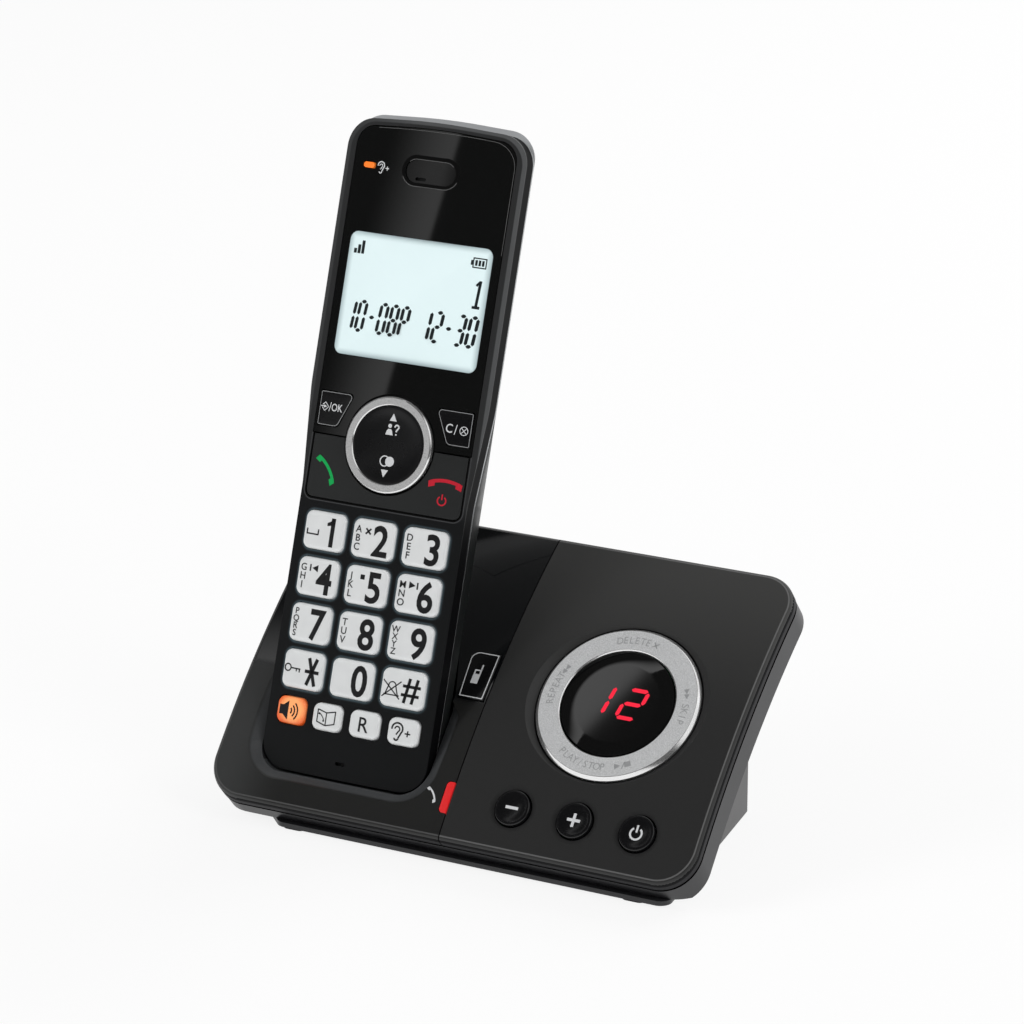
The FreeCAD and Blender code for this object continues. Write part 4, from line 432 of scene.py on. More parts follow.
def build(name, points, faces, finish, body, slot, node=None):
    """Mesh object from points in metres and faces; it stands in for a node if one is given."""
    mesh = bpy.data.meshes.new(name)
    mesh.from_pydata([tuple(point) for point in points], [], [tuple(face) for face in faces])
    coat(mesh, finish)
    mesh.update()
    mesh.polygons.foreach_set("use_smooth", np.ones(len(mesh.polygons), bool))
    mesh.set_sharp_from_angle(angle=math.radians(CAP_ANGLE))
    piece = linked(name, mesh)
    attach(piece, body)
    if node:
        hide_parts(node)


def rows_to_faces(rows, columns, closed_rows=False):
    """Quads between successive rows of points; each row is a closed loop of columns points."""
    row = np.arange(rows if closed_rows else rows - 1)[:, None]
    column = np.arange(columns)[None, :]
    after_row, after_column = (row + 1) % rows, (column + 1) % columns
    quads = np.stack([row * columns + column, row * columns + after_column,
        after_row * columns + after_column, after_row * columns + column], axis=-1)
    return quads.reshape(-1, 4)


def polygon(corners):
    """Rounded polygon of (x, y, rounding) corners, anticlockwise, drawn in by an inset."""
    corners = np.array(corners, float)

    def outline(inset):
        here = corners[:, :2]
        ahead = np.roll(here, -1, axis=0) - here
        ahead /= np.linalg.norm(ahead, axis=1)[:, None]
        inward = np.column_stack([-ahead[:, 1], ahead[:, 0]])
        before, before_in = np.roll(ahead, 1, axis=0), np.roll(inward, 1, axis=0)
        turn = before[:, 0] * ahead[:, 1] - before[:, 1] * ahead[:, 0]
        cosine = (before * ahead).sum(1)
        slide = inset * (1 - cosine) / np.where(np.abs(turn) < 1e-9, 1, turn)
        moved = here + before_in * inset - before * slide[:, None]
        rounding = np.maximum(corners[:, 2] - inset, np.minimum(corners[:, 2], 0.12))
        half = (math.pi - np.arctan2(turn, cosine)) / 2
        reach = rounding / np.tan(half)
        start, end = moved - before * reach[:, None], moved + ahead * reach[:, None]
        bisector = before_in + inward
        bisector /= np.linalg.norm(bisector, axis=1)[:, None]
        center = moved + bisector * (rounding / np.sin(half))[:, None]
        share = np.linspace(0, 1, 7)[None, :, None]
        spoke = (start - center)[:, None] * (1 - share) + (end - center)[:, None] * share
        spoke *= rounding[:, None, None] / np.linalg.norm(spoke, axis=2, keepdims=True)
        return (center[:, None] + spoke).reshape(-1, 2)
    return outline


def to_world(local, matrix):
    """Points of a frame in millimetres, moved to their place in metres."""
    return local * MM @ matrix[:3, :3].T + matrix[:3, 3]


def turned_ring(node, name, corners, matrix, finish, body, slot, columns=200):
    """Closed ring: a rounded profile of (radius, height) carried round a frame's z.

    Each point is the radius times cosine and sine of the turn, at the profile's height."""
    radius, height = polygon(corners)(0.0).T[:, :, None]
    angle = np.linspace(0, 2 * math.pi, columns, endpoint=False)
    grid = np.stack([radius * np.cos(angle), radius * np.sin(angle), height + 0 * angle], axis=-1)
    faces = rows_to_faces(len(radius), columns, closed_rows=True)
    build(name, to_world(grid.reshape(-1, 3), matrix), faces, finish, body, slot, node)


ring_place = shifted(panel, RING_X, 0, -RING_SUNK)
ring_silver = Finish("ring_silver", 0.5, 0.3)
reach = ring_silver.from_axis(ring_place)
face_mask = reach.step(14.95, 15.3) * (1.0 - reach.step(20.0, 20.3))
speckle = ring_silver.noise(0.22, 3.0)
ring_silver.set(Roughness=face_mask * 0.30 + 0.10 + speckle * 0.1, Metallic=0.9 - face_mask * 0.75)
satin = speckle.step(0.35, 0.7).mix((0.46, 0.465, 0.47), (0.66, 0.665, 0.67))
ring_silver.set(Base_Color=face_mask.mix(0.86, satin))
ring_silver.bump(speckle * face_mask, 0.02, 0.35)
turned_ring("dial_ring", "rocker_ring_cap", (
    (14.75, -1.7, 0.1), (21.1, -1.7, 0.1), (21.1, -0.85, 0.3), (20.25, 0, 0.25), (15.05, 0, 0.15),
    (14.75, -0.3, 0.1)), ring_place, ring_silver, "rocker_ring", "silver")


def spread(corners, matrix, drape):
    """Flat corners in millimetres laid on a surface: drape gives the height at each corner."""
    return to_world(np.column_stack([corners, drape(*corners.T)]), matrix)


def level(height):
    """Drape of the same height everywhere."""
    return lambda x, y: np.full_like(x, height)


def bar(x0, y0, x1, y1, width):
    """Outline of a straight stroke."""
    start, end = np.array([[x0, y0], [x1, y1]], float)
    along = (end - start) / np.linalg.norm(end - start)
    side = np.array([-along[1], along[0]]) * width / 2
    return [start - side, end - side, end + side, start + side]


def strokes(width, *lines):
    """Outlines of straight strokes of one width, each given by its two ends."""
    return [bar(*line, width) for line in lines]


def arc_strokes(x, y, radius, begin, end, width, pieces=14):
    """Outlines of a curved stroke, in short straight-sided pieces."""
    angle = np.radians(np.linspace(begin, end, pieces + 1))
    inner, outer = radius - width / 2, radius + width / 2
    at = lambda reach, a: (x + reach * math.cos(a), y + reach * math.sin(a))
    return [[at(inner, a), at(outer, a), at(outer, b), at(inner, b)]
        for a, b in zip(angle[:-1], angle[1:])]


def writing(text, size, x, y, squeeze=1.0, gap=1.0, weight=0.0):
    """Flat letter outlines as a mesh: points in millimetres and faces."""
    curve = bpy.data.curves.new("letters", "FONT")
    curve.body = text
    curve.size = size
    curve.offset = weight
    curve.space_line = gap
    curve.resolution_u = 4
    curve.align_x = "CENTER"
    holder = bpy.data.objects.new("letters", curve)
    mesh = bpy.data.meshes.new_from_object(holder)
    points = read(mesh.vertices, "co", 3)[:, :2]
    faces = [tuple(face.vertices) for face in mesh.polygons]
    middle = (points.max(0) + points.min(0)) / 2
    points = (points - middle) * (squeeze, 1.0) + (x, y)
    bpy.data.objects.remove(holder)
    bpy.data.meshes.remove(mesh)
    return points, faces


def mark(name, outlines, matrix, drape, finish, body, slot, texts=()):
    """One thin printed piece: flat outlines and letters, in millimetres, laid on a surface."""
    points, faces, start = [], [], 0
    for letters, letter_faces in texts:
        points.append(letters)
        faces += [tuple(index + start for index in face) for face in letter_faces]
        start += len(letters)
    for outline in outlines:
        outline = np.array(outline, float)
        turn = np.roll(outline, -1, axis=0)
        if (outline[:, 0] * turn[:, 1] - turn[:, 0] * outline[:, 1]).sum() < 0:
            outline = outline[::-1]
        points.append(outline)
        faces.append(tuple(range(start, start + len(outline))))
        start += len(outline)
    build(name, spread(np.concatenate(points), matrix, drape), faces, finish, body, slot)


mark_grey = Finish("mark_grey", (0.33, 0.335, 0.34), 0.35, Metallic=0.2).worn(0.6, 0.15)


def placed(outlines, x, y, size, turn=0.0):
    """Outlines moved, scaled and turned."""
    right, up = size * math.cos(math.radians(turn)), size * math.sin(math.radians(turn))
    return [[(x + u * right - v * up, y + u * up + v * right) for u, v in outline] for outline in outlines]


def arrow(x, y, size, turn=0.0):
    """Triangle that points to the right, turned by an angle."""
    return placed([((-0.5, -0.55), (0.55, 0.0), (-0.5, 0.55))], x, y, size, turn)[0]


WORD_RADIUS, WORD_SIZE, WORD_PITCH = 17.6, 2.7, 4.9


def around(outline, angle, upright=1):
    """Points turned about the ring's middle to an angle; upright is -1 for tops towards it."""
    turn = math.radians(angle - 90 * upright)
    spin = np.array([[math.cos(turn), math.sin(turn)], [-math.sin(turn), math.cos(turn)]])
    return (np.array(outline, float) + (0, WORD_RADIUS * upright)) @ spin


words = []
for word, first, upright in (
    ("DELETE", 108.0, 1), ("REPEAT", 189.0, 1), ("SKIP", 8.5, 1), ("PLAY/STOP", 239.0, -1),
):
    for place, letter in enumerate(word):
        points, faces = writing(letter, WORD_SIZE, 0, 0, 0.9)
        words.append((around(points, first - place * WORD_PITCH * upright, upright), faces))
mark("rocker_ring_words", [], ring_place, level(0.02), mark_grey, "rocker_ring", "silver", words)
cross = strokes(0.3, (-0.7, -0.7, 0.7, 0.7), (-0.7, 0.7, 0.7, -0.7))
ring_marks = [around(outline, 76.5) for outline in cross]
ring_marks += [around(arrow(0, 0, 1.3, turn), angle)
    for turn, angle in ((180, 161), (180, 156.5), (0, 21.5), (0, 17))]
ring_marks += [around(outline, 290.5, -1) for outline in (arrow(0, 0, 1.5), bar(1.1, -0.9, 1.9, 0.9, 0.22))]
ring_marks += [around(bar(-0.8, 0, 0.8, 0, 1.4), 299.0, -1)]
mark("rocker_ring_marks", ring_marks, ring_place, level(0.03), mark_grey, "rocker_ring", "silver")
carrier_black = Finish("carrier_black", 0.02, 0.5).grain(0.5, 0.01)
moulding("dial_key_carrier", "rocker_ring_carrier", carrier_black)


# ------------ window and counter
# Smoked acrylic window in the middle of the ring, with the red two-digit message counter shining
# through it.

gloss_black = Finish("gloss_black", (0.004, 0.004, 0.0045), 0.2).uneven(9.0, 3.0, 0.06, 0.17)


def capped(node, name, outline, rows, drape, matrix, finish, body, slot, dome=0.0):
    """Cap: a closed outline carried through rows of (inset, height), then closed to its middle.

    outline(inset) gives the loop of points at a distance inside the edge. drape adds the height of
    the surface that the cap lies on, and dome raises the middle above the last row."""
    loops = [(outline(inset), height) for inset, height in rows]
    last, top = loops[-1]
    middle = last.mean(0)
    for share in (0.75, 0.5, 0.25, 0.02):
        loops.append((middle + (last - middle) * share, top + dome * (1 - share ** 2)))
    points = [np.column_stack([loop, height + drape(*loop.T)]) for loop, height in loops]
    count, columns = len(loops), len(last)
    faces = list(rows_to_faces(count, columns))
    faces += [range(columns)[::-1], range((count - 1) * columns, count * columns)]
    build(name, to_world(np.concatenate(points), matrix), faces, finish, body, slot, node)


def circle(radius, columns=96):
    """Outline of a circle: cosine and sine of each angle times the radius less the inset."""
    angle = np.linspace(0, 2 * math.pi, columns, endpoint=False)
    return lambda inset: (radius - inset) * np.column_stack([np.cos(angle), np.sin(angle)])


def box_outline(width, height, rounding, x=0.0, y=0.0):
    """Outline of a rounded box about a middle: its corners lie half a width and height away."""
    sides = (1, -1), (1, 1), (-1, 1), (-1, -1)
    return polygon([(x + width / 2 * u, y + height / 2 * v, rounding) for u, v in sides])


window_black = Finish("window_black", 0.003, 0.03, Coat_Weight=0.3).uneven(12.0, 2.0, 0.015, 0.02)
capped("display_window", "counter_window", circle(14.4, 160),
    ((1.7, -8.0), (0.5, -1.4), (0, -1.35), (0, -0.2), (0.06, -0.06), (0.2, 0.0)),
    level(0.0), ring_place, window_black, "base", "gloss_black")

SEGMENTS = {"a": ((0, 2), (1, 2)), "b": ((1, 2), (1, 1)), "c": ((1, 1), (1, 0)), "d": ((0, 0), (1, 0)),
    "e": ((0, 0), (0, 1)), "f": ((0, 1), (0, 2)), "g": ((0, 1), (1, 1))}
DIGITS = {"0": "abcdef", "1": "bc", "2": "abged", "3": "abgcd", "8": "abcdefg", "-": "g", "P": "abgfe"}


def segment_digits(text, x, y, pitch, width, height, stroke, slant):
    """Outlines of seven-segment digits; each segment is a bar with pointed ends."""
    outlines = []
    for place, name in [(place, name) for place, digit in enumerate(text) for name in DIGITS[digit]]:
        start, end = np.array(SEGMENTS[name]) * (width, height / 2) + (pitch * place, 0)
        along = (end - start) / np.linalg.norm(end - start)
        side = np.array([-along[1], along[0]]) * stroke / 2
        start, end = start + along * stroke * 0.2, end - along * stroke * 0.2
        tip = along * stroke / 2
        hexagon = [start, start + tip - side, end - tip - side, end, end - tip + side, start + tip + side]
        outlines.append([(x + p[0] + p[1] * slant, y + p[1]) for p in hexagon])
    return outlines


counter_red = Finish("counter_red", (0.45, 0.005, 0.015), 0.4, Emission_Strength=1.0)
counter_red.glowing(1.5, (0.50, 0.006, 0.025), (0.74, 0.018, 0.05))
digits = segment_digits("12", -7.9, -3.6, 8.8, 4.9, 7.9, 1.05, 0.16)
mark("counter_digits", digits, ring_place, level(0.03), counter_red, "base", "red_lamp")


# ------------ round keys
# Three polished black keys, each a shallow dish with a pale mark: minus, plus and power.

mark_white = Finish("mark_white", (0.62, 0.63, 0.64), 0.45).worn(1.0, 0.1)
KEY_SLOPE, BUTTON_PITCH = 32.0, 16.75
key_lean = math.degrees(math.asin(KEY_SLOPE / PANEL_CURVE))
key_sag = PANEL_CURVE - math.sqrt(PANEL_CURVE ** 2 - KEY_SLOPE ** 2)
power_mark = arc_strokes(0, -0.2, 1.5, 125, 415, 0.5) + [bar(0, 0.1, 0, 2.0, 0.5)]
plus_mark = strokes(0.75, (-1.75, 0, 1.75, 0), (0, 0.37, 0, 1.75), (0, -1.75, 0, -0.37))
for key, x, outlines in (
    ("volume_down_key", RING_X - BUTTON_PITCH, [bar(-1.7, 0, 1.7, 0, 0.75)]),
    ("volume_up_key", RING_X, plus_mark),
    ("power_key", RING_X + BUTTON_PITCH, power_mark),
):
    place = leaned(shifted(panel, x, -KEY_SLOPE, -key_sag), key_lean, 0)
    capped(key, key + "_cap", circle(4.6), (
        (0, -2.3), (0, 0.25), (0.05, 0.42), (0.16, 0.56), (0.32, 0.66), (0.55, 0.70), (1.0, 0.66),
        (1.6, 0.54), (2.4, 0.42)), level(0.0), place, gloss_black, key, "gloss_black", dome=-0.1)
    mark(key + "_mark", outlines, place, level(0.50), mark_white, key, "key_silver")


# ------------ find key and in-use lamp
# Beside the seam: a polished key with a thin silver edge and a handset mark, and lower down the
# red light pipe with its small mark.

def bent(radius, axis):
    """Drapes over a cylinder that falls away along x (0) or y (1): its height plus an offset."""
    return lambda height: lambda *xy: height - radius + np.sqrt(radius ** 2 - xy[axis] ** 2)


panel_drape, front_drape = bent(PANEL_CURVE, 1), bent(FRONT_CURVE, 0)

find_outline = polygon(((-0.75, -6.5, 0.15), (-0.75, 6.5, 0.15), (-8.6, 6.5, 2.4), (-7.6, -6.5, 0.15)))
capped("find_handset_key", "find_handset_key_cap", find_outline,
    ((0, -6.0), (0, 0.25), (0.06, 0.38), (0.18, 0.47), (0.4, 0.5)), level(0.0), panel,
    gloss_black, "find_handset_key", "gloss_black")


def band(outline, near, far):
    """Outlines of a printed line that follows a closed outline between two insets."""
    outer, inner = outline(near), outline(far)
    return [[outer[i], outer[(i + 1) % len(outer)], inner[(i + 1) % len(outer)], inner[i]]
        for i in range(len(outer))]


mark("find_handset_key_line", band(find_outline, 0.22, 0.48), panel, level(0.53), mark_white,
    "find_handset_key", "key_silver")
phone_mark = [bar(-4.9, -2.4, -4.9, 1.5, 1.9), bar(-4.15, 1.4, -4.15, 3.0, 0.4)]
mark("find_handset_key_mark", phone_mark, panel, level(0.53), mark_white, "find_handset_key", "key_silver")
phone_dark = [bar(-4.9, 0.3, -4.9, 1.1, 1.1)]
mark("find_handset_key_screen", phone_dark, panel, level(0.55), gloss_black, "find_handset_key",
    "gloss_black")

lamp_red = Finish("lamp_red", (0.50, 0.01, 0.012), 0.3, Emission_Strength=0.4)
lamp_red.glowing(3.0, (0.45, 0.01, 0.01), (0.65, 0.02, 0.02))
lamp_outline = polygon(((-0.15, -36.5, 0.1), (-0.15, -28.5, 0.1), (-2.25, -28.5, 1.0), (-2.25, -36.5, 1.0)))
capped("in_use_lamp", "in_use_light", lamp_outline, ((0, -3.5), (0, -0.05), (0.08, 0.06), (0.25, 0.1)),
    panel_drape(0.0), panel, lamp_red, "base", "red_lamp")


# Telephone receiver seen from the side: a curved grip with two thick ends.
receiver = arc_strokes(0, -2.47, 2.5, 70, 110, 0.19, 10)
receiver += [[(side * x, y) for x, y in ((0.62, 0.05), (0.98, -0.08), (0.95, -0.42), (0.6, -0.3))]
    for side in (-1, 1)]
mark("in_use_mark", placed(receiver, -5.0, -32.4, 2.3, -52), panel, panel_drape(0.03), mark_white, "base",
    "key_silver")


# ------------ handset shells
# Front and back moulding of the handset, satin black, with the battery door in the back.

shell_black = Finish("shell_black", (0.010, 0.011, 0.011), 0.34, Specular_IOR_Level=0.2, Coat_Roughness=0.12)
facing = shell_black.add("NewGeometry", {}, output="Normal")
up = shell_black.toward(facing, handset[:3, 1]).step(0.3, 0.7)
back = shell_black.toward(facing, -handset[:3, 2]).step(0.1, 0.4)
shell_black.set(Coat_Weight=up.math("MAXIMUM", back))
# Painted highlight: faces looking the same way as the handset's front, along the seam, are painted pale.
ledge_highlight = shell_black.toward(facing, handset[:3, 2]).step(0.6, 0.9)
cloud = shell_black.noise(16.0, 4.0) * 0.1
PAINTED_EDGE_HIGHLIGHT = (0.42, 0.43, 0.44)
shell_black.set(Base_Color=ledge_highlight.mix(shell_black.color, PAINTED_EDGE_HIGHLIGHT), Roughness=cloud + 0.29)
shell_black.grain(0.25, 0.004, 0.5)
moulding("handset_back_shell", "handset_back", shell_black)
moulding("battery_door", "handset_battery_door", shell_black)

# The front moulding is painted paler on the narrow rim beside the faceplate as a sheen, most at its outer
# edge and to the right. Painted shade fills the gap round the call key, with a painted highlight line beside
# it, and the lit keypad leaves a thin bluish line round every number key. The side walls are painted in shade
# and end in a painted highlight along the bevel.
front_black = Finish("front_black", (0.010, 0.0105, 0.0105), 0.4, Emission_Strength=0.12,
    Specular_IOR_Level=0.2)
height = front_black.along(handset, 1)
beside = front_black.along(handset, 0).math("ABSOLUTE")
rim = height.step(-17.0, -10.0)
inside = front_black.outside(beside, height + beside * beside * 0.0019 - 30.4, 25.1, 50.0, 7.5)
# Painted sheen on the rim, paler to the right.
sheen_to_right = front_black.along(handset, 0).step(-25.0, 0.0)
rim_sheen_tone = sheen_to_right.mix((0.044, 0.045, 0.046), (0.080, 0.082, 0.084))
shade = inside.step(-1.25, -0.95).mix((0.024, 0.0245, 0.025), rim_sheen_tone)
shade = rim.mix((0.007, 0.0075, 0.008), shade)
# Painted shade in the gap round the call key, and a painted highlight line beside it.
call_gap = front_black.outside(beside, height - 7.0, 21.7, 22.6, 1.8)
below_plate = 1.0 - height.step(0.0, 0.5)
call_edge_highlight = call_gap.step(0.55, 0.65) * (1.0 - call_gap.step(0.8, 0.95)) * below_plate
shade = call_edge_highlight.mix(shade, (0.045, 0.046, 0.048))
shade = ((1.0 - call_gap.step(0.45, 0.6)) * below_plate).mix(shade, 0.0)
# Painted shade on the side walls, and a painted highlight along the bevel at their edge.
level_now = front_black.along(handset, 2)
shade = level_now.step(-2.3, -2.0).mix((0.008, 0.008, 0.009), shade)
bevel = (1.0 - level_now.step(-5.5, -5.1)) * height.step(-30.0, 0.0)
shade = bevel.mix(shade, PAINTED_EDGE_HIGHLIGHT)
front_black.paint_shade((1.0 - level_now.step(-2.1, -1.8)) * (1.0 - bevel) * 0.6)
front_black.set(Base_Color=shade, Roughness=front_black.noise(16.0, 4.0) * 0.1 + 0.36)
front_black.grain(0.25, 0.004, 0.5)
from_key = front_black.outside(beside.math("PINGPONG", 7.075), (height * -1.0 - 0.4).math("PINGPONG", 5.825),
    5.9, 4.8, 1.9)
lit = (1.0 - from_key.step(0.0, 0.9)) * height.step(-65.0, -64.4) * (1.0 - height.step(-18.0, -17.4))
lit = lit * (1.0 - beside.step(21.0, 21.6))
front_black.set(Emission_Color=lit.mix(0, (0.42, 0.62, 0.72)))
moulding("handset_front_shell", "handset_front", front_black, front_face)


# ------------ faceplate
# Polished black plate over the upper half, with the clear display lens, the earpiece and the
# orange indicator let into it.

plate_black = Finish("plate_black", (0.0035, 0.0037, 0.0036), 0.04, Coat_Weight=0.2)
plate_black.uneven(12.0, 3.0, 0.03, 0.02)
plate_face = barrel(handset, FRONT_CURVE, 1, 0.1)
moulding("handset_faceplate", "handset_plate", plate_black, plate_face)


def on_front(name, outlines, finish, slot="gloss_black", body="handset", height=-0.07, texts=()):
    """Mark on the front of the handset, at a height over the keypad's face."""
    mark(name, outlines, handset, front_drape(height), finish, body, slot, texts)


# Painted highlight: a thin grey line along the plate's top and right edges; the earpiece's edge lines use the
# same grey.
highlight_grey = Finish("highlight_grey", 0.10, 0.2).worn(5.0, 0.6)
line = [(x, 77.9 - x * x * 0.0019) for x in np.linspace(-16.5, 15.5, 12)]
line += [(15.7 + 6.4 * math.sin(angle), 71.0 + 6.4 * math.cos(angle))
    for angle in np.radians(np.arange(5, 91, 8.5))]
line += [(22.1, 62.0), (22.1, 50.0)]
highlight_bars = [bar(*start, *end, 0.13) for start, end in zip(line[:-1], line[1:])]
on_front("handset_plate_edge_highlight", highlight_bars, highlight_grey, height=-0.08)

LENS_Y, EAR_Y = 35.9, 67.9
lens_finish = Finish("display_face", (0.5, 0.6, 0.6), 0.12, Emission_Strength=0.47)
lens_x = lens_finish.along(handset, 0).math("ABSOLUTE")
lens_y = (lens_finish.along(handset, 1) - LENS_Y).math("ABSOLUTE")
# Painted shade: the display is darker towards the lens edges, in colour and glow.
edge = lens_x.step(18.2, 20.2).math("MAXIMUM", lens_y.step(13.6, 15.6))
lens_finish.set(Base_Color=edge.mix((0.46, 0.55, 0.56), (0.26, 0.33, 0.34)),
    Emission_Color=edge.mix((0.74, 0.86, 0.87), (0.38, 0.46, 0.48)))
lens_outline = box_outline(40.0, 30.8, 2.2, 0, LENS_Y)
capped("display_lens", "display_window", lens_outline, ((0, -1.25), (0, -0.2), (0.05, -0.12), (0.15, -0.1)),
    front_drape(0.0), handset, lens_finish, "handset", "display_face")

ink = Finish("display_ink", (0.010, 0.014, 0.016), 0.3).worn(2.0, 0.1)
shown = [bar(x, 45.8, x, 45.8 + rise, 0.85) for x, rise in ((-18.0, 1.2), (-16.9, 2.2), (-15.8, 3.3))]
shown += band(box_outline(3.7, 2.6, 0.1, 16.9, 47.5), 0, 0.3) + [bar(14.8, 46.9, 14.8, 48.1, 0.5)]
shown += [bar(x, 46.8, x, 48.2, 0.62) for x in (16.0, 16.9, 17.8)]
shown += [bar(17.5, 36.6, 17.9, 43.2, 0.75), bar(16.5, 36.6, 18.5, 36.6, 0.7),
    bar(16.9, 41.9, 17.7, 42.9, 0.6)]
for x, digits in ((-17.8, "10-08P"), (3.85, "12-30")):
    shown += segment_digits(digits, x, 26.9, 3.1, 1.85, 7.2, 0.9, 0.1)
on_front("display_signs", shown, ink, "display_face")

ear_black = Finish("ear_black", 0.003, 0.1).uneven(4.0, 2.0, 0.08, 0.06)
moulding("earpiece_cap", "earpiece_grille", ear_black,
    barrel(handset, FRONT_CURVE, 1, 0.4))
# Painted shade: a dark band in the bevel round the earpiece, with painted highlight lines along its upper
# inner edge and lower outer edge.
ear_shade = Finish("ear_shade", 0.001, 0.7, Specular_IOR_Level=0.2).worn(3.0, 0.3)
ear_outline = box_outline(16.1, 7.9, 3.9, 0, EAR_Y)
on_front("earpiece_bevel_shade", band(ear_outline, 0, 1.0), ear_shade, height=-0.09)
ear_highlight_lines = [quad for quad in band(ear_outline, 1.0, 1.16) if quad[0][1] > 69.5 and quad[1][1] > 69.5]
ear_highlight_lines += [quad for quad in band(ear_outline, 0.0, 0.18) if quad[0][1] < 66.5 and quad[1][1] < 66.5]
on_front("earpiece_edge_highlight", ear_highlight_lines, highlight_grey)

lamp_orange = Finish("lamp_orange", (0.80, 0.16, 0.02), 0.25, Emission_Strength=0.5, Coat_Weight=0.4)
lamp_orange.glowing(1.2, (0.75, 0.13, 0.01), (0.95, 0.26, 0.03))
boost_outline = box_outline(3.1, 1.45, 0.68, -17.8, EAR_Y)
capped("boost_lamp", "boost_indicator", boost_outline, ((0, -1.3), (0, -0.08), (0.06, 0.0), (0.2, 0.03)),
    front_drape(0.0), handset, lamp_orange, "handset", "orange_lamp")


# ------------ round key, soft keys, call key
# Dished round key in a silver ring, two five-sided keys beside it and the wide call key below.

key_rim = Finish("navigation_silver", 0.36, 0.25, Metallic=0.3)
fleck = key_rim.noise(0.3, 3.0)
reach = key_rim.from_axis(handset)
flat = reach.step(10.0, 10.2) * (1.0 - reach.step(11.5, 11.65))
satin = fleck.mix(0.42, 0.52)
key_rim.set(Base_Color=flat.mix(0.86, satin),
    Metallic=0.9 - flat * 0.7, Roughness=fleck * 0.15 + flat * 0.16 + 0.05)
turned_ring("nav_ring", "navigation_ring", (
    (9.85, -0.95, 0.1), (12.0, -0.95, 0.1), (12.0, 0.2, 0.25), (11.65, 0.5, 0.12), (10.1, 0.5, 0.12),
    (9.85, 0.25, 0.1)), handset, key_rim, "navigation_key", "silver", 160)
dish_black = Finish("dish_black", (0.004, 0.004, 0.0045), 0.3).uneven(6.0, 3.0, 0.08, 0.24)
capped("nav_key", "navigation_key_dish", circle(9.8, 128), (
    (0, -3.4), (0, 0.15), (0.08, 0.25), (0.3, 0.3), (0.8, 0.24), (1.8, 0.05), (3.2, -0.15), (5.2, -0.3)),
    level(0.0), handset, dish_black, "navigation_key", "gloss_black", dome=-0.1)
nav_marks = [arrow(0.2, 6.9, 1.8, 90), arrow(-0.15, -7.1, 1.8, -90)]
nav_marks += arc_strokes(-0.5, 4.75, 0.26, 0, 360, 0.52, 16)
nav_marks.append([(-1.55, 2.5), (0.55, 2.5), (0.2, 3.6), (-0.1, 3.95), (-0.9, 3.95), (-1.2, 3.6)])
nav_marks += arc_strokes(1.45, 4.6, 0.55, -40, 190, 0.4, 8)
nav_marks += strokes(0.4, (1.85, 4.3, 1.4, 3.7), (1.4, 3.75, 1.4, 3.4)) + [bar(1.4, 2.95, 1.4, 2.6, 0.42)]
nav_marks += arc_strokes(-0.58, -4.04, 1.25, 0, 360, 0.3, 24)
nav_marks += arc_strokes(0.82, -4.02, 0.62, 0, 360, 1.24, 24)


def dish(height):
    """Height inside the round key's dish plus an offset."""
    def drape(x, y):
        reach = np.sqrt(x * x + y * y)
        return height + np.interp(reach, (0.0, 4.6, 6.6, 8.0, 9.0), (-0.4, -0.3, -0.15, 0.05, 0.24))
    return drape


mark("navigation_marks", nav_marks, handset, dish(0.04), mark_white, "navigation_key", "key_silver")

for side, key in ((-1, "soft_key_left"), (1, "soft_key_right")):
    corners = [(15.5, 2.3, 1.5), (21.5, 2.3, 0.5), (21.5, 10.9, 0.5), (11.6, 10.9, 1.0)]
    if side < 0:
        corners = [(-x, y, rounding) for x, y, rounding in corners[::-1]]
    outline = polygon(corners)
    capped(key, key + "_cap", outline, ((0, -2.5), (0, -0.1), (0.06, 0.02), (0.18, 0.09), (0.35, 0.1)),
        front_drape(0.0), handset, gloss_black, key, "gloss_black")
    on_front(key + "_line", band(outline, 0.12, 0.27), mark_grey, "key_silver", key, 0.115)

call_black = Finish("call_black", (0.016, 0.017, 0.017), 0.38).worn(12.0, 0.1).grain(0.25, 0.004, 0.5)
moulding("call_key_plate", "call_key_cap", call_black, plate_face)
call_green = Finish("call_green", (0.0, 0.28, 0.06), 0.35, Emission_Strength=0.2)
call_green.glowing(1.0, (0.0, 0.35, 0.07), (0.01, 0.45, 0.1))
call_red = Finish("call_red", (0.42, 0.008, 0.022), 0.35, Emission_Strength=0.15)
call_red.glowing(1.0, (0.5, 0.01, 0.02), (0.65, 0.02, 0.04))
on_front("call_mark", placed(receiver, -16.3, -8.1, 4.3, -50), call_green, "satin_black", "call_key")
end_call = placed(receiver, 16.7, -6.6, 4.6) + placed(power_mark, 16.4, -11.3, 0.74)
on_front("end_call_mark", end_call, call_red, "satin_black", "call_key")


# ------------ number and function keys
# Pale silver keycaps with softly rounded tops and black print, lit from behind; the loudspeaker
# key is orange.

key_silver = Finish("key_silver", (0.70, 0.71, 0.71), 0.3, Metallic=0.15, Emission_Strength=0.1)
shade = key_silver.noise(5.0, 3.0)
key_silver.set(Base_Color=shade.mix((0.64, 0.65, 0.65), (0.74, 0.75, 0.75)),
    Emission_Color=shade.mix((0.80, 0.84, 0.86), (0.92, 0.95, 0.96)))
key_silver.bump(key_silver.noise(0.15), 0.005, 0.3)
key_orange = Finish("key_orange", (0.90, 0.28, 0.07), 0.3, Emission_Strength=0.25)
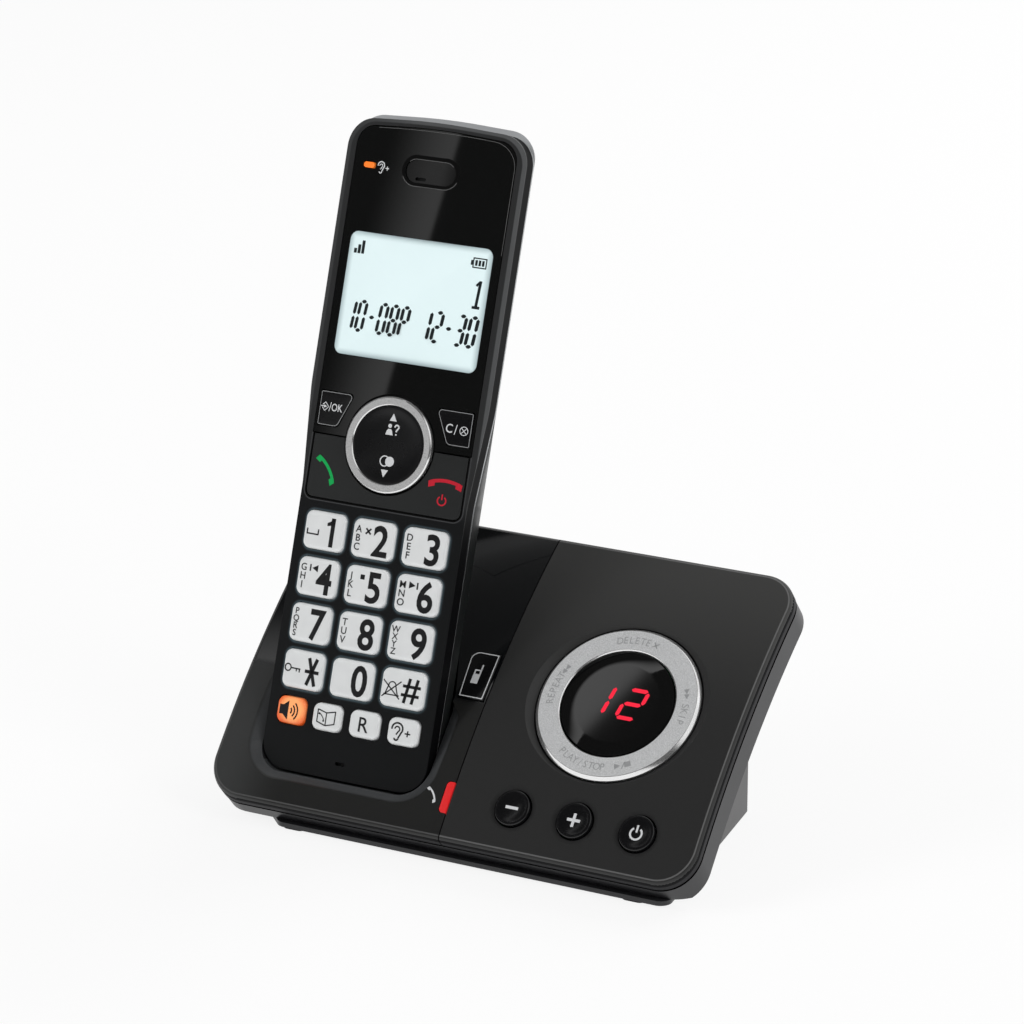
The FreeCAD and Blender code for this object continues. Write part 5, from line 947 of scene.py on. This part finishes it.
# Painted light and shade: the orange key is paler and brighter in its middle and darker towards its edges, in
# colour and glow.
from_middle = [key_orange.along(handset, 0) + 15.5, key_orange.along(handset, 1) + 68.7]
rim = (from_middle[0] * from_middle[0] * 0.8 + from_middle[1] * from_middle[1]).math("SQRT").step(2.2, 4.4)
key_orange.set(Base_Color=rim.mix((0.92, 0.36, 0.13), (0.70, 0.10, 0.02)),
    Emission_Color=rim.mix((1.0, 0.42, 0.16), (0.8, 0.10, 0.01)))
print_black = Finish("print_black", (0.008, 0.008, 0.009), 0.4).worn(1.5, 0.2)


def front_place(x, y):
    """Frame square to the handset's curved front at a point."""
    drop = FRONT_CURVE - math.sqrt(FRONT_CURVE ** 2 - x ** 2)
    return leaned(shifted(handset, x, y, -drop), math.degrees(math.asin(x / FRONT_CURVE)), 1)


KEY_ROWS = ((0, -1.5), (0, 0.05), (0.05, 0.3), (0.18, 0.52), (0.4, 0.70), (0.75, 0.82), (1.2, 0.875),
    (1.8, 0.89))
PRINT_HEIGHT = 0.93
LETTERS = "- ABC DEF GHI JKL MNO PQRS TUV WXYZ".split()
back_mark = placed([arrow(0, 0, 1)], 0.35, 0, 1.25, 180) + [bar(-0.75, -0.65, -0.75, 0.65, 0.32)]
extra_marks = {
    "key_1": strokes(0.36, (-4.9, -1.1, -1.3, -1.1), (-4.74, -1.1, -4.74, 0.2), (-1.46, -1.1, -1.46, 0.2))
        + [bar(2.6, -3.7, 2.6, 3.5, 1.2),
        [(3.2, 3.5), (2.3, 3.5), (1.9, 2.7), (0.9, 2.2), (0.9, 1.4), (3.2, 1.9)]],
    "key_2": strokes(0.45, (-2.1, 1.2, -0.7, 2.6), (-2.1, 2.6, -0.7, 1.2)),
    "key_4": placed(back_mark, -1.15, 2.2, 1.3),
    "key_5": [bar(-1.7, 2.2, -0.5, 2.2, 1.2)],
    "key_6": placed(back_mark, -1.15, 2.3, 1.3, 180),
    "key_star": strokes(0.95, (1.65, 3.3, 4.05, -3.5), (4.05, 3.3, 1.65, -3.5))
        + [bar(0.8, -0.1, 4.9, -0.1, 0.85)]
        + strokes(0.34, (-3.4, 0.1, -0.6, 0.1), (-0.85, 0.1, -0.85, -0.75), (-1.75, 0.1, -1.75, -0.6))
        + arc_strokes(-4.3, 0.1, 0.88, 0, 360, 0.34, 20),
    "key_hash": strokes(0.8, (0.75, -3.3, 1.75, 2.9), (2.85, -3.3, 3.85, 2.9))
        + strokes(0.75, (0.0, 0.9, 4.8, 0.9), (-0.2, -1.3, 4.6, -1.3))
        + strokes(0.3, (-4.9, -1.8, -0.7, -1.8), (-4.5, -1.8, -3.7, 0.6), (-1.1, -1.8, -1.9, 0.6),
        (-5.3, 1.7, -0.5, -2.6), (-5.3, -2.5, -0.5, 1.8))
        + arc_strokes(-2.8, 0.5, 0.95, 5, 175, 0.3, 10),
}
KEY_PITCH, ROW_PITCH, FIRST_ROW = 14.15, 11.65, -23.7
number_keys = ["key_%d" % digit for digit in range(1, 10)] + ["key_star", "key_0", "key_hash"]
for index, key in enumerate(number_keys):
    column, row = index % 3, index // 3
    place = front_place((column - 1) * KEY_PITCH, FIRST_ROW - row * ROW_PITCH)
    capped(key, key + "_cap", box_outline(11.8, 9.6, 1.9), KEY_ROWS, level(0.0), place, key_silver, key,
        "key_silver")
    texts = []
    if key[-1] in "234567890":
        texts.append(writing(key[-1], 10.6, 2.3, -0.1, 0.86, 1.0, 0.24))
    if 0 < index < 9:
        size, gap = (2.5, 0.88) if len(LETTERS[index]) < 4 else (2.25, 0.81)
        texts.append(writing("\n".join(LETTERS[index]), size, -4.1, 0.0, 0.98, gap, 0.025))
    mark(key + "_print", extra_marks.get(key, []), place, level(PRINT_HEIGHT), print_black, key,
        "key_silver", texts)

speaker_marks = [[(-3.2, -1.2), (-2.1, -1.2), (-0.6, -2.4), (-0.6, 2.4), (-2.1, 1.2), (-3.2, 1.2)]]
for reach in (0.9, 1.8, 2.7):
    speaker_marks += arc_strokes(-0.5, 0, reach, -48, 48, 0.4, 8)
book_marks = strokes(0.3, (-2.5, -1.3, 0, -2.0), (0, -2.0, 2.5, -1.3), (-2.5, 1.8, 0, 1.2),
    (0, 1.2, 2.5, 1.8), (-2.5, -1.4, -2.5, 1.9), (2.5, -1.4, 2.5, 1.9), (0, -2.0, 0, 1.2))
book_marks += placed(receiver, -1.15, 0.1, 1.35, -50)
ear_marks = arc_strokes(-1.5, 0.7, 1.45, -35, 190, 0.42, 12) + arc_strokes(-1.5, 0.6, 0.66, -50, 180, 0.36, 8)
ear_marks += [bar(-0.35, -0.1, -1.0, -1.6, 0.42), bar(-1.1, 0.15, -1.65, -0.8, 0.36)]
ear_marks += arc_strokes(-1.5, -1.65, 0.5, 180, 360, 0.42, 8)
ear_marks += strokes(0.36, (0.6, -0.2, 2.1, -0.2), (1.35, -0.95, 1.35, 0.55))
SMALL_PITCH, SMALL_ROW = 10.6, -69.1
for index, (key, texts, outlines) in enumerate((
    ("speaker_key", [], speaker_marks), ("phonebook_key", [], book_marks),
    ("flash_key", [writing("R", 5.3, 0.0, 0.0, 0.95, 1.0, 0.03)], []), ("boost_key", [], ear_marks),
)):
    place = front_place((index - 1.5) * SMALL_PITCH, SMALL_ROW)
    finish, slot = (key_orange, "key_orange") if index == 0 else (key_silver, "key_silver")
    capped(key, key + "_cap", box_outline(8.3, 6.8, 1.9), KEY_ROWS, level(0.0), place, finish, key, slot)
    mark(key + "_print", outlines, place, level(PRINT_HEIGHT), print_black, key, slot, texts)

on_front("boost_ear_mark", placed(ear_marks, -13.2, 67.6, 0.66), mark_white)
diamond = strokes(0.22, (-0.9, 0.35, 0, 1.2), (0, 1.2, 1.15, 0), (1.15, 0, 0, -1.2), (0, -1.2, -0.9, -0.35))
enter_marks = placed(diamond, -19.8, 7.0, 0.9) + [bar(-21.1, 7.0, -19.9, 7.0, 0.22), arrow(-19.7, 7.0, 0.8),
    bar(-18.5, 5.9, -18.1, 8.2, 0.2)]
on_front("soft_key_left_print", enter_marks, mark_white, "gloss_black", "soft_key_left", 0.12,
    [writing("OK", 2.7, -16.2, 7.0, 0.82, 1.0, 0.02)])
mute_marks = arc_strokes(19.5, 6.3, 1.05, 0, 360, 0.18, 20)
mute_marks += strokes(0.18, (18.85, 5.65, 20.15, 6.95), (18.85, 6.95, 20.15, 5.65))
mute_marks.append(bar(17.1, 5.1, 17.6, 7.6, 0.2))
on_front("soft_key_right_print", mute_marks, mark_white, "gloss_black", "soft_key_right", 0.12,
    [writing("C", 3.1, 15.6, 6.5, 0.9, 1.0, 0.02)])


# ------------ sockets, contacts, inner parts
# Parts that show only through openings: sockets in the rear wall, spring contacts, screws, boards
# and loudspeakers. They keep their solids and get their own finishes.

for finish, nodes in (
    (Finish("socket_black", (0.03, 0.03, 0.032), 0.45).grain(0.4, 0.01),
     ("power_jack", "line_jack", "base_tact_switches", "base_loudspeaker", "message_display", "lcd_panel",
      "earpiece_receiver", "handset_loudspeaker", "handset_microphone")),
    (Finish("plated_metal", (0.72, 0.66, 0.50), 0.22, Metallic=1.0).uneven(0.6, 3.0, 0.15, 0.14),
     ("charge_contact_left", "charge_contact_right", "handset_charge_contacts")),
    (Finish("zinc_steel", (0.52, 0.52, 0.53), 0.35, Metallic=1.0).uneven(0.5, 3.0, 0.2, 0.22),
     ("base_screws", "handset_screws")),
    (Finish("solder_mask", (0.012, 0.11, 0.04), 0.3).worn(3.0, 0.3),
     ("base_circuit_board", "handset_circuit_board")),
    (Finish("grey_silicone", (0.30, 0.31, 0.32), 0.6).worn(4.0, 0.12), ("keypad_mat",)),
    (Finish("cell_wrap", (0.03, 0.10, 0.20), 0.25).worn(6.0, 0.2), ("battery_cells",)),
):
    for node in nodes:
        coat(frame["nodes"][node].data, finish)


# ------------ studio
# Pale floor, soft lamps, what the polished faces mirror, and the camera.

for name, position, target, width, height, power in (
    ("key_lamp", (-1.1, -1.0, 1.1), (0, 0, 0.06), 0.8, 0.8, 14.0),
    ("right_lamp", (1.3, -0.35, 0.75), (0, 0, 0.05), 0.6, 0.9, 9.0),
    ("rear_lamp", (0.35, 1.2, 1.0), (0, 0, 0.08), 1.0, 0.6, 14.0),
):
    light = bpy.data.lights.new(name, "AREA")
    light.shape = "RECTANGLE"
    light.size, light.size_y, light.energy = width, height, power
    lamp_object = linked(name, light)
    lamp_turn = (Vector(target) - Vector(position)).to_track_quat("-Z", "Y")
    lamp_object.matrix_world = Matrix.Translation(position) @ lamp_turn.to_matrix().to_4x4()
    lamp_object.visible_glossy = False


class Backdrop(Finish):
    """The world's shader: white behind the object, a dark studio in front with three soft lights."""

    def __init__(self, world):
        world.use_nodes = True
        self.tree = world.node_tree
        self.shader = self.tree.nodes["Background"]


world = bpy.data.worlds.new("studio")
bpy.context.scene.world = world
backdrop = Backdrop(world)
view = backdrop.add("TexCoord", {}, output=0)
mirrored = backdrop.toward(view, (0, 1, 0)).step(0.12, 0.6) * 0.95 + 0.05
for side, middle, reach, edge, fade, power in (
    ((0.3997, -0.4999, -0.7683), (-0.45, -0.84, 0.31), (0.8, 0.93), 0.004, -0.11, 0.7),
    ((0.7525, -0.637, 0.1674), (-0.411, -0.257, 0.874), (0.91, 0.945), 0.0012, -0.12, 1.15),
):
    beyond = backdrop.toward(view, side)
    inside = backdrop.toward(view, np.array(middle) / np.linalg.norm(middle)).step(*reach)
    mirrored = mirrored + inside * (1.0 - beyond.step(-edge, edge)) * beyond.step(fade, 0.0) * power
beside = backdrop.toward(view, np.array((0.8, -0.05, 0.6)))
mirrored = mirrored + beside.step(0.82, 0.95) * 0.8
seen, glossy = backdrop.ray("Camera").math("MAXIMUM", backdrop.ray("Transmission")), backdrop.ray("Glossy")
backdrop.set(Color=1, Strength=seen * 0.6 + glossy * (mirrored - 0.4) + 0.4)

floor_mesh = bpy.data.meshes.new("floor")
floor_mesh.from_pydata([(-20, -20, 0), (20, -20, 0), (20, 20, 0), (-20, 20, 0)], [], [(0, 1, 2, 3)])
floor = linked("floor", floor_mesh)
floor_finish = Finish("floor_paper", 0.8, 0.9)
paper = floor_finish.add("Emission", {}, Color=1, Strength=1.0)
seen = floor_finish.ray("Camera").math("MAXIMUM", floor_finish.ray("Glossy"))
floor_finish.blended(seen * 0.86, paper)
coat(floor_mesh, floor_finish)

SENSOR_WIDTH, FOCAL_PIXELS, PICTURE_PIXELS = 36.0, 4369, 1024
camera_data = bpy.data.cameras.new("camera")
camera_data.sensor_width = SENSOR_WIDTH
camera_data.lens = SENSOR_WIDTH * FOCAL_PIXELS / PICTURE_PIXELS
camera_data.clip_end = 100
camera = linked("camera", camera_data)
right = Vector((0.88539, 0.46484, 0.0))
forward = Vector((-0.4398, 0.8377, -0.3239)).normalized()
up = right.cross(forward)
turn = Matrix((right, up, -forward)).transposed().to_4x4()
camera.matrix_world = Matrix.Translation((0.4710, -0.8881, 0.4270)) @ turn
bpy.context.scene.camera = camera

bpy.context.view_layer.update()
